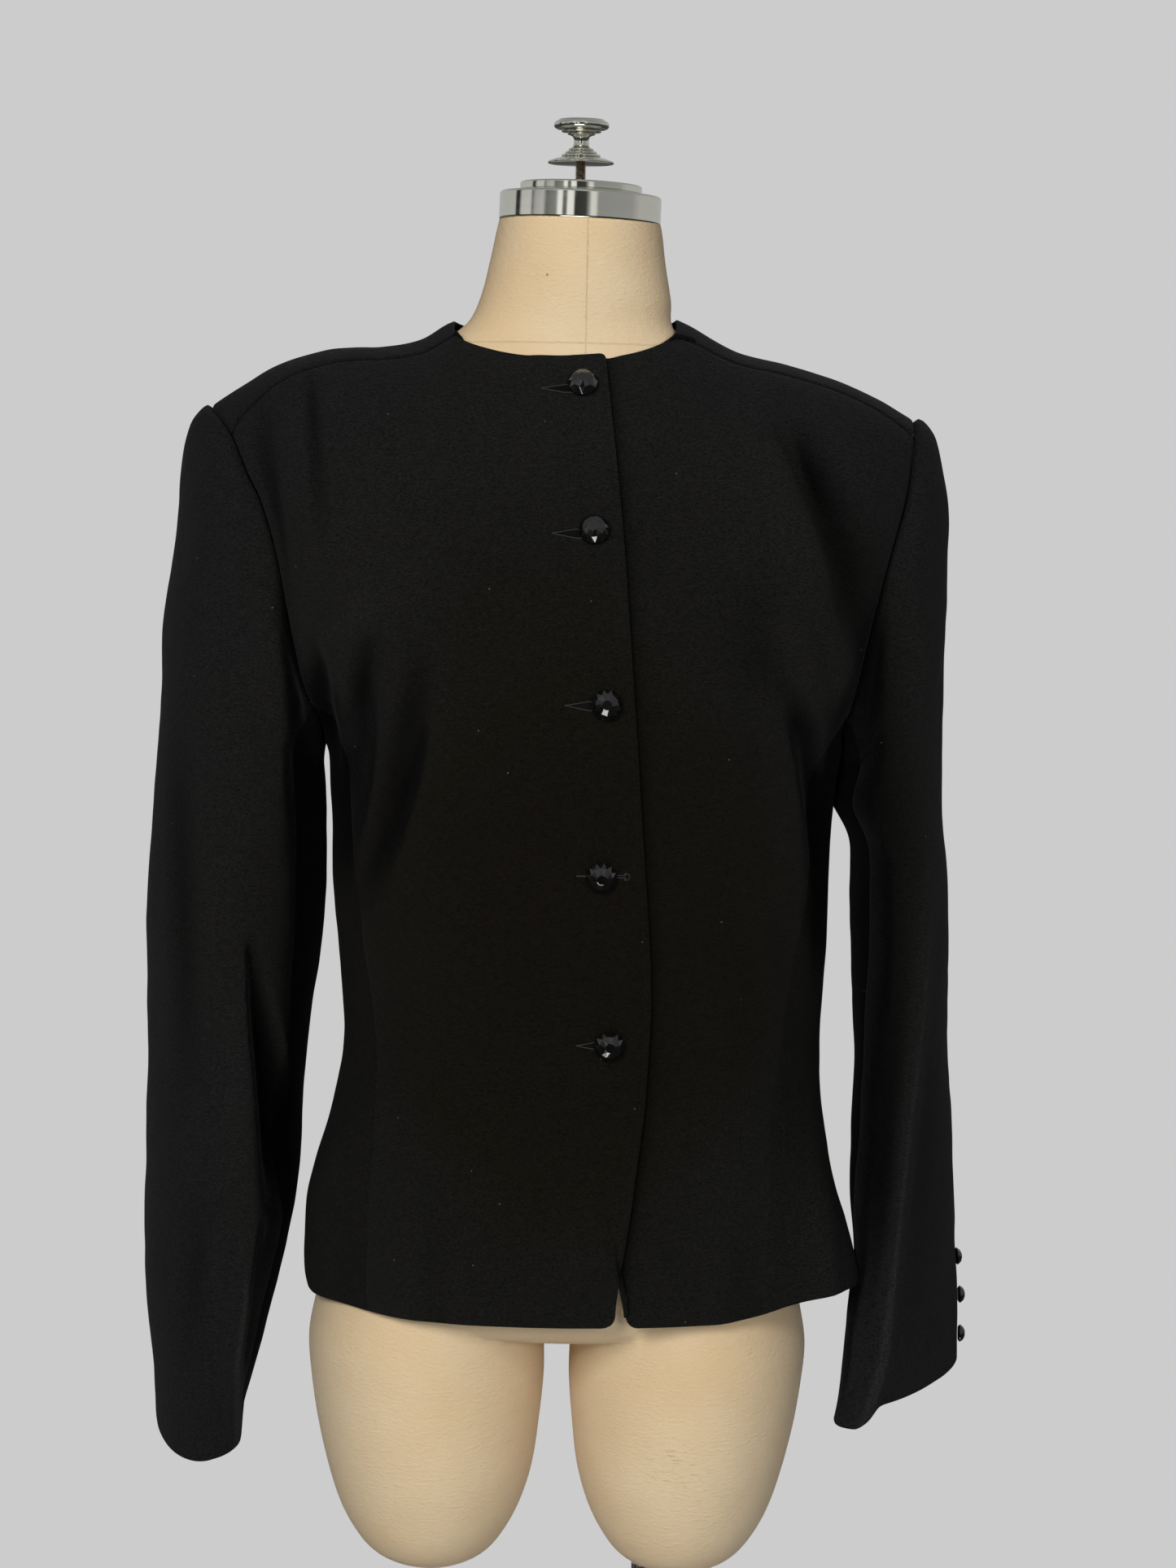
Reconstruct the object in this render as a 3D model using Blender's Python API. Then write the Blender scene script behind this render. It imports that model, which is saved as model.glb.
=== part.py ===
"""Collarless blazer buttoned on a limbless dress form, in metres, +Z up, the blazer facing -Y.

The wearer's left is +X. The origin is on the floor, under the form's neck, at the middle of
the base plate's flat underside. The blazer is cut from fronts, side panels, a back that wraps
over the shoulders to a forward seam, and two-piece sleeves. Each piece is a wall of cloth.
"""
import math

import bpy
import bmesh
from mathutils import Vector

# Cloth
WALL = 0.0018
SEAM_GAP = 0.0003
SIDE_GAP = 0.0010
BUTTON_SEAT = 0.0006
LAP_RISE = 0.0015

# Levels and angles that the pieces share
FOOT_Z = 1.125
FOOT_ANGLE = math.radians(62)
ARMPIT_DIP = 0.030
ARMPIT_POWER = 1.8
CREST_Y = 0.005
CAP_END_Z = 1.060
RING_POWER = 2.4

# Neckline in plan: how far the neck points lie from the middle, and the depth before and behind
NECK_POINT = {"right": 0.0777, "left": 0.0624}
SEAM_FORWARD = {"right": 0.026, "left": 0.020}
SEAM_FORWARD_AT_NECK = 0.018
NECK_FRONT_Y = -0.052
NECK_BACK_Y = 0.062
NECK_POWER = 2.2

# Grid of each panel
YOKE_ROWS = 7
CREST_ROWS = 2
PLACKET_COLUMNS = 7
CHEST_COLUMNS = 8
SIDE_COLUMNS = 6
BACK_COLUMNS = 22
NAPE_COLUMNS = 5
CAP_STEPS = (0.0, 0.05, 0.14, 0.28, 0.46, 0.70, 1.0)
SLEEVE_ROWS = 14
LEVELS = (0.772, 0.795, 0.820, 0.848, 0.876, 0.905, 0.935, 0.966, 0.997, 1.028, 1.058, 1.082, 1.104)

# Fastenings
BUTTON_RADIUS = 0.0095
BUTTON_HEIGHT = 0.0090
CUFF_BUTTON_RADIUS = 0.0057
CUFF_BUTTON_HEIGHT = 0.0046
BUTTON_FACETS = 12
BUTTON_CENTRES = ((0.0043, 1.319), (0.0133, 1.231), (0.0226, 1.129), (0.0215, 1.0255), (0.0286, 0.921))
CUFF_BUTTON_PITCH = 0.0235
CUFF_BUTTON_ANGLE = math.radians(318)
CUFF_BUTTON_LOWEST = {"right": 0.690, "left": 0.712}

# Stand
PLATE_RADIUS = 0.180
PLATE_THICK = 0.008
POLE_RADIUS = 0.0110
POLE_X = 0.0620
COLLAR_RADIUS = 0.024
COLLAR_HEIGHT = 0.030
STUMP_FOOT = 0.566


def chart(names, rows):
    """Columns by name, read against the first one, which rises."""
    rows = sorted(rows)
    return {name: [row[i] for row in rows] for i, name in enumerate(names.split())}


def read(columns, name, at):
    """A smooth reading of one column at a value of the first column."""
    keys = next(iter(columns.values()))
    values = columns[name]
    if at <= keys[0]:
        return values[0]
    if at >= keys[-1]:
        return values[-1]
    i = max(k for k in range(len(keys) - 1) if keys[k] <= at)
    span = keys[i + 1] - keys[i]
    t = (at - keys[i]) / span
    slopes = []
    for k in (i, i + 1):
        a, b = max(k - 1, 0), min(k + 1, len(keys) - 1)
        slopes.append(span * (values[b] - values[a]) / (keys[b] - keys[a]))
    rise = values[i + 1] - values[i]
    return (values[i] + t * slopes[0]
            + t * t * (3 * rise - 2 * slopes[0] - slopes[1])
            + t * t * t * (slopes[0] + slopes[1] - 2 * rise))


# Rings of the torso: half-widths each side of the middle, depth before and behind it
BODY = chart("z right left front back", [
    (0.740, 0.1540, 0.1785, 0.1220, 0.1240),
    (0.760, 0.1585, 0.1785, 0.1215, 0.1235),
    (0.780, 0.1590, 0.1770, 0.1200, 0.1215),
    (0.805, 0.1578, 0.1750, 0.1175, 0.1180),
    (0.830, 0.1530, 0.1715, 0.1145, 0.1130),
    (0.869, 0.1440, 0.1635, 0.1100, 0.1050),
    (0.904, 0.1390, 0.1630, 0.1075, 0.1010),
    (0.937, 0.1400, 0.1635, 0.1090, 0.0995),
    (1.000, 0.1465, 0.1655, 0.1180, 0.1050),
    (1.060, 0.1490, 0.1670, 0.1260, 0.1110),
    (1.095, 0.1535, 0.1720, 0.1292, 0.1140),
    (1.125, 0.1775, 0.1920, 0.1300, 0.1150),
])

# Shoulder line in the front view, from the middle outwards, one side at a time
CREST = {
    "right": chart("x z", [
        (0.0, 1.385), (0.0777, 1.3575), (0.098, 1.3455), (0.122, 1.3405), (0.139, 1.3400),
        (0.158, 1.3375), (0.187, 1.3280), (0.214, 1.3110), (0.228, 1.3015)]),
    "left": chart("x z", [
        (0.0, 1.385), (0.0624, 1.3610), (0.097, 1.3435), (0.131, 1.3345), (0.163, 1.3250),
        (0.189, 1.3140), (0.2115, 1.3015)]),
}
TIP = {"right": 0.228, "left": 0.2115}

# Armhole seam in the front view
ARMHOLE = chart("z right left", [
    (1.1250, 0.1600, 0.1730),
    (1.1390, 0.1650, 0.1765),
    (1.1740, 0.1730, 0.1840),
    (1.2150, 0.1820, 0.1940),
    (1.2450, 0.1920, 0.2020),
    (1.2600, 0.2000, 0.2053),
    (1.2820, 0.2105, 0.2085),
    (1.2920, 0.2180, 0.2100),
    (1.3015, 0.2280, 0.2115),
])

# How pointed or square the profile over the shoulder is, from the middle to the armhole
PROFILE = chart("share front back", [
    (0.0, 1.50, 2.20),
    (0.5, 1.90, 2.25),
    (1.0, 2.50, 2.40),
])

# Free edges of the two fronts, x of the seen upper edge and of the covered under edge
FRONT_EDGE = chart("z upper under", [
    (0.740, 0.0345, 0.0430),
    (0.755, 0.0350, 0.0425),
    (0.776, 0.0377, 0.0385),
    (0.820, 0.0440, 0.0270),
    (0.883, 0.0504, 0.0150),
    (0.951, 0.0523, 0.0080),
    (1.055, 0.0445, 0.0055),
    (1.130, 0.0385, 0.0030),
    (1.240, 0.0287, -0.0080),
    (1.336, 0.0170, -0.0180),
])

# Seams of the side panels, as angles from the front and from the back
SIDE_SEAM = chart("z front back", [
    (0.740, 45, 46),
    (0.800, 45, 46),
    (0.905, 52, 52),
    (1.000, 58, 58),
    (1.095, 62, 62),
    (1.125, 62, 62),
])

# Largest soft folds of the torso: where, how far up and round they reach, how far they stand out
TORSO_FOLDS = chart("angle z reach spread height", [
    (-78, 0.770, 0.085, 13, 0.0035),
    (-52, 0.765, 0.070, 10, -0.0030),
    (-24, 0.760, 0.080, 14, 0.0025),
    (26, 0.765, 0.070, 12, -0.0030),
    (48, 0.765, 0.070, 9, -0.0030),
    (74, 0.757, 0.052, 13, 0.0160),
    (118, 0.905, 0.060, 14, -0.0030),
    (150, 0.780, 0.100, 13, 0.0040),
    (180, 0.900, 0.090, 18, -0.0030),
    (-140, 0.780, 0.100, 13, 0.0035),
    (-112, 0.905, 0.060, 14, -0.0030),
])

# Rings of the sleeves: reach of the outer and inner side, middle and half-depth, turn of the oval
SLEEVE = {
    "right": chart("z outer inner middle depth turn", [
        (0.640, 0.2540, 0.2025, -0.0060, 0.0480, -12),
        (0.660, 0.2565, 0.2005, -0.0050, 0.0485, -12),
        (0.684, 0.2585, 0.1945, -0.0040, 0.0500, -12),
        (0.7145, 0.2620, 0.1870, -0.0020, 0.0520, -10),
        (0.750, 0.2650, 0.1790, 0.0010, 0.0540, -8),
        (0.785, 0.2660, 0.1710, 0.0040, 0.0560, -6),
        (0.833, 0.2665, 0.1650, 0.0070, 0.0590, -4),
        (0.888, 0.2680, 0.1605, 0.0090, 0.0610, 0),
        (0.940, 0.2680, 0.1560, 0.0100, 0.0630, 0),
        (0.992, 0.2660, 0.1530, 0.0080, 0.0640, 0),
        (1.046, 0.2630, 0.1528, 0.0050, 0.0650, 0),
        (1.070, 0.2610, 0.1538, 0.0040, 0.0660, 0),
        (1.096, 0.2590, 0.1560, 0.0030, 0.0665, 0),
        (1.1685, 0.2560, 0.1540, 0.0020, 0.0690, 0),
        (1.201, 0.2530, 0.1560, 0.0020, 0.0690, 0),
        (1.242, 0.2480, 0.1600, 0.0020, 0.0670, 0),
        (1.267, 0.2445, 0.1640, 0.0020, 0.0640, 0),
        (1.294, 0.2390, 0.1700, 0.0020, 0.0600, 0),
    ]),
    "left": chart("z outer inner middle depth turn", [
        (0.670, 0.2600, 0.1750, -0.0060, 0.0520, -52),
        (0.695, 0.2606, 0.1793, -0.0050, 0.0530, -50),
        (0.7175, 0.2608, 0.1807, -0.0040, 0.0545, -46),
        (0.744, 0.2595, 0.1845, 0.0080, 0.0540, -40),
        (0.760, 0.2585, 0.1895, 0.0120, 0.0545, -36),
        (0.780, 0.2570, 0.1898, 0.0130, 0.0570, -32),
        (0.805, 0.2550, 0.1860, 0.0120, 0.0610, -26),
        (0.845, 0.2525, 0.1835, 0.0100, 0.0640, -16),
        (0.897, 0.2490, 0.1825, 0.0090, 0.0670, -8),
        (0.970, 0.2439, 0.1808, 0.0090, 0.0700, 0),
        (1.012, 0.2410, 0.1806, 0.0080, 0.0715, 0),
        (1.0433, 0.2380, 0.1803, 0.0060, 0.0720, 0),
        (1.0535, 0.2370, 0.1738, 0.0050, 0.0720, 0),
        (1.0620, 0.2360, 0.1710, 0.0040, 0.0720, 0),
        (1.095, 0.2348, 0.1750, 0.0030, 0.0730, 0),
        (1.157, 0.2354, 0.1750, 0.0020, 0.0725, 0),
        (1.198, 0.2352, 0.1740, 0.0020, 0.0710, 0),
        (1.239, 0.2339, 0.1760, 0.0020, 0.0680, 0),
        (1.260, 0.2327, 0.1780, 0.0020, 0.0640, 0),
        (1.287, 0.2268, 0.1800, 0.0020, 0.0600, 0),
    ]),
}
CUFF_Z = {"right": 0.6555, "left": 0.6810}
CUFF_TILT = {"right": 0.25, "left": 0.13}

# Turn of the sleeve's columns from the cap down to the cuff, which carries the back seam outwards
CUFF_TWIST = chart("cap cuff", [(0, 0), (136, 146), (236, 292), (360, 360)])
FRONT_SEAM_ANGLE = 136
BACK_SEAM_ANGLE = 236

SLEEVE_FOLDS = {
    "right": chart("angle z reach spread height", [
        (28, 0.905, 0.060, 34, -0.0045),
        (75, 0.955, 0.050, 30, 0.0035),
        (88, 0.862, 0.040, 34, -0.0040),
        (120, 0.790, 0.050, 30, 0.0040),
        (205, 0.900, 0.060, 40, -0.0045),
    ]),
    "left": chart("angle z reach spread height", [
        (30, 0.890, 0.060, 34, -0.0040),
        (80, 0.965, 0.045, 30, 0.0035),
        (100, 0.860, 0.045, 34, -0.0035),
        (130, 0.780, 0.050, 30, 0.0035),
        (210, 0.900, 0.060, 40, -0.0040),
    ]),
}

# Rings of the dress form: its torso and neck, then one of its two stumps
FORM = chart("z right left front back power", [
    (0.726, 0.1150, 0.1150, 0.0700, 0.0740, 2.4),
    (0.733, 0.1380, 0.1380, 0.0880, 0.0930, 2.4),
    (0.745, 0.1490, 0.1500, 0.0980, 0.1040, 2.4),
    (0.765, 0.1535, 0.1560, 0.1050, 0.1120, 2.4),
    (0.800, 0.1525, 0.1560, 0.1080, 0.1100, 2.4),
    (0.835, 0.1470, 0.1500, 0.1040, 0.1020, 2.4),
    (0.870, 0.1380, 0.1400, 0.0990, 0.0940, 2.4),
    (0.905, 0.1320, 0.1350, 0.0960, 0.0900, 2.4),
    (0.940, 0.1325, 0.1360, 0.0980, 0.0890, 2.4),
    (1.000, 0.1380, 0.1430, 0.1060, 0.0950, 2.4),
    (1.060, 0.1410, 0.1450, 0.1160, 0.1010, 2.4),
    (1.110, 0.1430, 0.1470, 0.1200, 0.1040, 2.4),
    (1.160, 0.1480, 0.1510, 0.1130, 0.1040, 2.4),
    (1.210, 0.1530, 0.1550, 0.0970, 0.1000, 2.4),
    (1.250, 0.1540, 0.1550, 0.0820, 0.0930, 2.3),
    (1.285, 0.1450, 0.1450, 0.0680, 0.0830, 2.2),
    (1.310, 0.1270, 0.1270, 0.0560, 0.0720, 2.1),
    (1.325, 0.1120, 0.1120, 0.0490, 0.0640, 2.0),
    (1.3352, 0.0985, 0.0930, 0.0450, 0.0590, 2.0),
    (1.345, 0.0840, 0.0720, 0.0420, 0.0550, 2.0),
    (1.356, 0.0690, 0.0595, 0.0420, 0.0530, 2.0),
    (1.372, 0.0610, 0.0580, 0.0445, 0.0535, 2.0),
    (1.395, 0.0553, 0.0540, 0.0475, 0.0530, 2.0),
    (1.414, 0.0515, 0.0515, 0.0490, 0.0515, 2.0),
    (1.4205, 0.0500, 0.0500, 0.0485, 0.0500, 2.0),
])
STUMP = chart("z middle wide front back", [
    (0.5660, 0.0790, 0.0150, 0.0180, 0.0180),
    (0.5685, 0.0790, 0.0255, 0.0320, 0.0320),
    (0.5760, 0.0792, 0.0385, 0.0480, 0.0480),
    (0.5880, 0.0795, 0.0485, 0.0600, 0.0610),
    (0.6060, 0.0797, 0.0580, 0.0700, 0.0720),
    (0.6300, 0.0800, 0.0655, 0.0790, 0.0810),
    (0.6600, 0.0815, 0.0710, 0.0860, 0.0890),
    (0.6900, 0.0825, 0.0745, 0.0910, 0.0950),
    (0.7150, 0.0835, 0.0752, 0.0945, 0.1000),
    (0.7400, 0.0810, 0.0735, 0.0960, 0.1030),
    (0.7700, 0.0780, 0.0700, 0.0950, 0.1020),
    (0.8000, 0.0740, 0.0640, 0.0900, 0.0960),
])

# Turned profiles, as radius and height
CAP_PROFILE = (
    (0.0, 1.4208), (0.0496, 1.4208), (0.0503, 1.4216), (0.0503, 1.4372), (0.0496, 1.4380),
    (0.0378, 1.4380), (0.0378, 1.4432), (0.0366, 1.4442), (0.0, 1.4442))
SCREW_PROFILE = (
    (0.0, 1.4445), (0.0032, 1.4445), (0.0032, 1.4556), (0.0190, 1.4560), (0.0204, 1.4572),
    (0.0190, 1.4586), (0.0120, 1.4600), (0.0095, 1.4630), (0.0078, 1.4655), (0.0048, 1.4680),
    (0.0046, 1.4740), (0.0080, 1.4762), (0.0155, 1.4770), (0.0172, 1.4786), (0.0160, 1.4806),
    (0.0100, 1.4828), (0.0, 1.4836))
PLATE_PROFILE = (
    (0.0, 0.0), (PLATE_RADIUS - 0.001, 0.0), (PLATE_RADIUS, 0.001),
    (PLATE_RADIUS, PLATE_THICK - 0.002), (PLATE_RADIUS - 0.002, PLATE_THICK), (0.0, PLATE_THICK))

# Finishes: colour, roughness, metallic
FINISHES = {
    "wool_crepe": ((0.008, 0.008, 0.009), 0.85, 0.0),
    "black_glass": ((0.004, 0.004, 0.005), 0.08, 0.0),
    "form_jersey": ((0.70, 0.60, 0.43), 0.80, 0.0),
    "chrome": ((0.80, 0.80, 0.81), 0.12, 1.0),
}


def sign_of(side):
    """+1 towards the wearer's left, -1 towards the right."""
    return 1 if side == "left" else -1


def side_of(x):
    """The side on which a place lies."""
    return "left" if x > 0 else "right"


def eased(t):
    """A smooth step from 0 to 1."""
    t = min(max(t, 0.0), 1.0)
    return t * t * (3 - 2 * t)


def powered(value, power):
    """A signed power, for rounded-square rings."""
    return math.copysign(abs(value) ** power, value)


def solve(measure, low, high):
    """The place between low and high where a rising or falling measure is nought."""
    rising = measure(high) > measure(low)
    for _ in range(40):
        middle = (low + high) / 2
        if (measure(middle) > 0) == rising:
            high = middle
        else:
            low = middle
    return (low + high) / 2


def mound(offset, spread):
    """A soft bump, 1 at the middle and nought at one spread away."""
    t = min(abs(offset) / spread, 1.0)
    return (1 - t * t) ** 2


def turn_between(a, b):
    """The angle from b to a, in degrees, the short way round."""
    return (a - b + 180) % 360 - 180


def fold_height(folds, angle, z):
    """How far the soft folds of a chart lift the cloth at an angle and a height."""
    total = 0.0
    for i, middle in enumerate(folds["angle"]):
        across = mound(turn_between(math.degrees(angle), middle), 2 * folds["spread"][i])
        along = mound(z - folds["z"][i], 1.6 * folds["reach"][i])
        total += folds["height"][i] * across * along
    return total


def ring_point(angle, z, rings=BODY):
    """A place on a torso ring: angle 0 faces front and a right angle faces the wearer's left."""
    across, along = math.sin(angle), math.cos(angle)
    wide = read(rings, side_of(across), z)
    deep = read(rings, "front" if along > 0 else "back", z)
    power = read(rings, "power", z) if "power" in rings else RING_POWER
    x = wide * powered(across, 2 / power)
    y = -deep * powered(along, 2 / power)
    return Vector((x, y, z))


def torso_point(angle, z):
    """The torso's outer surface, with its folds."""
    lift = fold_height(TORSO_FOLDS, angle, z)
    return ring_point(angle, z) + lift * Vector((math.sin(angle), -math.cos(angle), 0))


def share_of(angle):
    """How far from the middle to the armhole a column stands, from 0 to 1."""
    return (abs(math.sin(angle)) / math.sin(FOOT_ANGLE)) ** (2 / RING_POWER)


def yoke_point(angle, climb, back=False):
    """The surface above the armholes' feet: climb 0 is the foot and a right angle the crest."""
    side = side_of(angle)
    share = share_of(angle)
    power = read(PROFILE, "back" if back else "front", min(share, 1.0))
    up = powered(math.sin(climb), 2 / power)
    edge_up = powered(math.sin(climb), 2 / read(PROFILE, "back" if back else "front", 1.0))
    out = powered(math.cos(climb), 2 / power)
    edge_z = FOOT_Z + (read(CREST[side], "z", TIP[side]) - FOOT_Z) * edge_up
    x = sign_of(side) * share * read(ARMHOLE, side, edge_z)
    foot = ring_point(math.pi - angle if back else angle, FOOT_Z)
    top = read(CREST[side], "z", share * TIP[side])
    y = CREST_Y + (foot.y - CREST_Y) * out
    return Vector((x, y, FOOT_Z + (top - FOOT_Z) * up))


def neck_angle(side):
    """The column that runs up to the neck point."""
    share = NECK_POINT[side] / TIP[side]
    return math.asin(math.sin(FOOT_ANGLE) * share ** (RING_POWER / 2))


def seam_y(angle):
    """How far forward the shoulder seam lies on a column."""
    side = side_of(angle)
    outward = (share_of(angle) * TIP[side] - NECK_POINT[side]) / (TIP[side] - NECK_POINT[side])
    depth = SEAM_FORWARD_AT_NECK + (SEAM_FORWARD[side] - SEAM_FORWARD_AT_NECK) * eased(outward)
    return CREST_Y - depth


def neck_y(x, back=False):
    """The neckline in plan."""
    side = side_of(x)
    across = min(abs(x) / NECK_POINT[side], 1.0)
    rim = (1 - across ** NECK_POWER) ** (1 / NECK_POWER)
    if back:
        return CREST_Y + (NECK_BACK_Y - CREST_Y) * rim
    start = CREST_Y - SEAM_FORWARD_AT_NECK
    return start + (NECK_FRONT_Y - start) * rim


def front_top(angle):
    """The climb at which a front column ends, at the neckline or at the shoulder seam."""
    if abs(angle) < neck_angle(side_of(angle)) - 1e-9:
        def before(climb):
            point = yoke_point(angle, climb)
            return point.y - neck_y(point.x)
    else:
        def before(climb):
            return yoke_point(angle, climb).y - seam_y(angle)
    return solve(before, 0.02, math.pi / 2)


def back_top(angle):
    """The climb at which a back column ends, at the neckline or at the crest."""
    if abs(angle) >= neck_angle(side_of(angle)) - 1e-9:
        return math.pi / 2

    def behind(climb):
        point = yoke_point(angle, climb, back=True)
        return point.y - neck_y(point.x, back=True)
    return solve(behind, 0.02, math.pi / 2)


def crossing(first, second):
    """The unit direction at a right angle to two others."""
    return first.cross(second).normalized()


def surface_normal(surface, a, b):
    """The outward direction of a surface of two values, away from the form's middle."""
    step = 0.004
    along_a = surface(a + step, b) - surface(a - step, b)
    along_b = surface(a, b + step) - surface(a, b - step)
    normal = crossing(along_a, along_b)
    here = surface(a, b)
    middle = Vector((0, 0, min(here.z, FOOT_Z)))
    return normal if normal.dot(here - middle) > 0 else -normal


class Cloth:
    """A piece of cloth: outer points with the outward direction at each, and their quads."""

    def __init__(self):
        self.outer, self.normal, self.quads = {}, {}, []

    def put(self, key, point, normal):
        """Adds one point under a key."""
        self.outer[key] = point
        self.normal[key] = normal

    def grid(self, keys):
        """Adds the quads of a grid of keys, listed row by row."""
        for low, high in zip(keys, keys[1:]):
            for i in range(len(low) - 1):
                self.quads.append((low[i], low[i + 1], high[i + 1], high[i]))

    def meet(self, seam):
        """Takes over the outward direction of a seam that another piece shares."""
        for key, point in self.outer.items():
            for place, normal in seam:
                if (place - point).length < 1e-5:
                    self.normal[key] = normal

    def face_out(self):
        """Turns the quads over where they face the wrong way."""
        first = self.quads[len(self.quads) // 2]
        a, b, _, d = (self.outer[key] for key in first)
        if (b - a).cross(d - a).dot(self.normal[first[0]]) < 0:
            self.quads = [quad[::-1] for quad in self.quads]

    def rim(self):
        """The edges that only one quad has: from each key to the next key and the quad."""
        edges = {(quad[i], quad[(i + 1) % 4]): quad for quad in self.quads for i in range(4)}
        return {a: (b, quad) for (a, b), quad in edges.items() if (b, a) not in edges}

    def inward(self, a, b, quad):
        """The direction from a rim edge into its quad."""
        start, end = self.outer[a], self.outer[b]
        middle = sum((self.outer[key] for key in quad), Vector()) / 4 - (start + end) / 2
        along = (end - start).normalized()
        return (middle - middle.dot(along) * along).normalized()

    def rank(self, key):
        """An order of places, so that two pieces split a shared twisted edge alike."""
        return self.outer[key].dot(Vector((0.61, 0.53, 0.59)))

    def drawn_in(self, gap):
        """Outer points with every rim drawn in by half the gap at a seam."""
        after = self.rim()
        before = {b: (a, quad) for a, (b, quad) in after.items()}
        points = dict(self.outer)
        for key in after:
            first = self.inward(before[key][0], key, before[key][1])
            second = self.inward(key, *after[key])
            shift = (first + second) / (1 + max(first.dot(second), -0.9))
            points[key] = self.outer[key] + shift * gap / 2
        return points

    def halves(self):
        """The triangles of the quads, each quad split along its shorter diagonal."""
        for a, b, c, d in self.quads:
            if (self.outer[a] - self.outer[c]).length > (self.outer[b] - self.outer[d]).length:
                a, b, c, d = b, c, d, a
            yield a, b, c
            yield a, c, d

    def build(self, name, finish, gap=SEAM_GAP):
        """Makes the closed wall."""
        self.face_out()
        points = self.drawn_in(gap)
        mesh = bmesh.new()
        front = {key: mesh.verts.new(points[key]) for key in points}
        back = {key: mesh.verts.new(points[key] - WALL * self.normal[key]) for key in points}
        for three in self.halves():
            mesh.faces.new([front[key] for key in three])
            mesh.faces.new([back[key] for key in reversed(three)])
        for a, (b, _) in self.rim().items():
            if self.rank(a) > self.rank(b):
                mesh.faces.new((front[b], front[a], back[b]))
                mesh.faces.new((front[a], back[a], back[b]))
            else:
                mesh.faces.new((front[b], front[a], back[a]))
                mesh.faces.new((front[b], back[a], back[b]))
        return add_object(name, mesh, finish)


def add_object(name, mesh, finish, smooth_under=math.radians(40)):
    """Links a mesh as a named object with its finish."""
    bmesh.ops.recalc_face_normals(mesh, faces=mesh.faces)
    data = bpy.data.meshes.new(name)
    mesh.to_mesh(data)
    mesh.free()
    data.shade_smooth()
    data.set_sharp_from_angle(angle=smooth_under)
    data.materials.append(material(name, finish))
    body = bpy.data.objects.new(name, data)
    bpy.context.scene.collection.objects.link(body)
    return body


def material(name, finish):
    """A material of its own for each sub-part."""
    colour, roughness, metallic = FINISHES[finish]
    made = bpy.data.materials.new(f"{name}_{finish}")
    made.use_nodes = True
    shader = made.node_tree.nodes["Principled BSDF"]
    shader.inputs["Base Color"].default_value = (*colour, 1)
    shader.inputs["Roughness"].default_value = roughness
    shader.inputs["Metallic"].default_value = metallic
    return made


def spread(low, high, count):
    """Evenly spaced values from low to high."""
    return [low + (high - low) * i / count for i in range(count + 1)]


def hem_z(angle):
    """The height of the hem, which lifts at the wearer's left side."""
    return 0.7500 + 0.013 * mound(turn_between(math.degrees(angle), 78), 50)


def level_z(row, angle):
    """The height of a level row of the torso; row 0 is the hem."""
    return hem_z(angle) if row == 0 else LEVELS[row - 1]


def side_seam_angle(z, front=True):
    """The angle of a side panel's seam, from the front or from the back."""
    return math.radians(read(SIDE_SEAM, "front" if front else "back", z))


def lap_lift(upper, x, z):
    """How far the lapped stretch of a front is raised, or sunk if it is the under one."""
    if upper:
        return LAP_RISE * eased((x - read(FRONT_EDGE, "under", z)) / 0.012 + 1.2)
    return -LAP_RISE * eased((read(FRONT_EDGE, "upper", z) - x) / 0.010 + 1.2)


def front_columns(side, edge_angle, seam_angle):
    """Angles of a front's columns, from its side seam to its free edge."""
    sign = sign_of(side)
    corner = sign * neck_angle(side)
    chest = spread(sign * seam_angle, corner, CHEST_COLUMNS)
    return chest + spread(corner, edge_angle, PLACKET_COLUMNS)[1:]


def front_panel(side, seam):
    """One front, from its side seam to its free edge and up to neckline, seam and armhole."""
    upper = side == "right"
    edge = "upper" if upper else "under"
    sign = sign_of(side)
    cloth, keys = Cloth(), []

    def place(row, column, surface, angle, height):
        point, normal = surface(angle, height), surface_normal(surface, angle, height)
        cloth.put((row, column), point + normal * lap_lift(upper, point.x, point.z), normal)

    for row in range(len(LEVELS) + 1):
        z = level_z(row, 0)
        goal = read(FRONT_EDGE, edge, z)
        edge_angle = solve(lambda a: torso_point(a, z).x - goal, -0.9, 0.9)
        angles = front_columns(side, edge_angle, side_seam_angle(z))
        for column, angle in enumerate(angles):
            place(row, column, torso_point, angle, level_z(row, angle) + corner_lift(row, column))
        keys.append([(row, column) for column in range(len(angles))])

    for step in range(YOKE_ROWS + 1):
        def climb_of(angle, share=step / YOKE_ROWS):
            return front_top(angle) * share

        def past_edge(angle):
            point = yoke_point(angle, climb_of(angle))
            return point.x - read(FRONT_EDGE, edge, point.z)
        edge_angle = solve(past_edge, -0.5, 0.5)
        row = len(LEVELS) + 1 + step
        angles = front_columns(side, edge_angle, FOOT_ANGLE)
        for column, angle in enumerate(angles):
            place(row, column, yoke_point, angle, climb_of(angle))
        keys.append([(row, column) for column in range(len(angles))])
    cloth.grid(keys)
    cloth.meet(seam)
    return cloth.build(f"front_{side}", "wool_crepe")


def corner_lift(row, column):
    """The rounding of a front's lower corner."""
    last = PLACKET_COLUMNS + CHEST_COLUMNS
    return 0.004 if row == 0 and column == last else 0.0


def armpit_z(angle):
    """The height of the armhole under the arm, across the side panel."""
    across = min(abs(math.pi / 2 - abs(angle)) / (math.pi / 2 - FOOT_ANGLE), 1.0)
    return FOOT_Z - ARMPIT_DIP * (1 - across ** ARMPIT_POWER) ** (1 / ARMPIT_POWER)


def side_angles(side, z):
    """Angles of a side panel's columns, from its front seam to its back seam."""
    low, high = side_seam_angle(z), math.pi - side_seam_angle(z, front=False)
    return [sign_of(side) * angle for angle in spread(low, high, SIDE_COLUMNS)]


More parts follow.
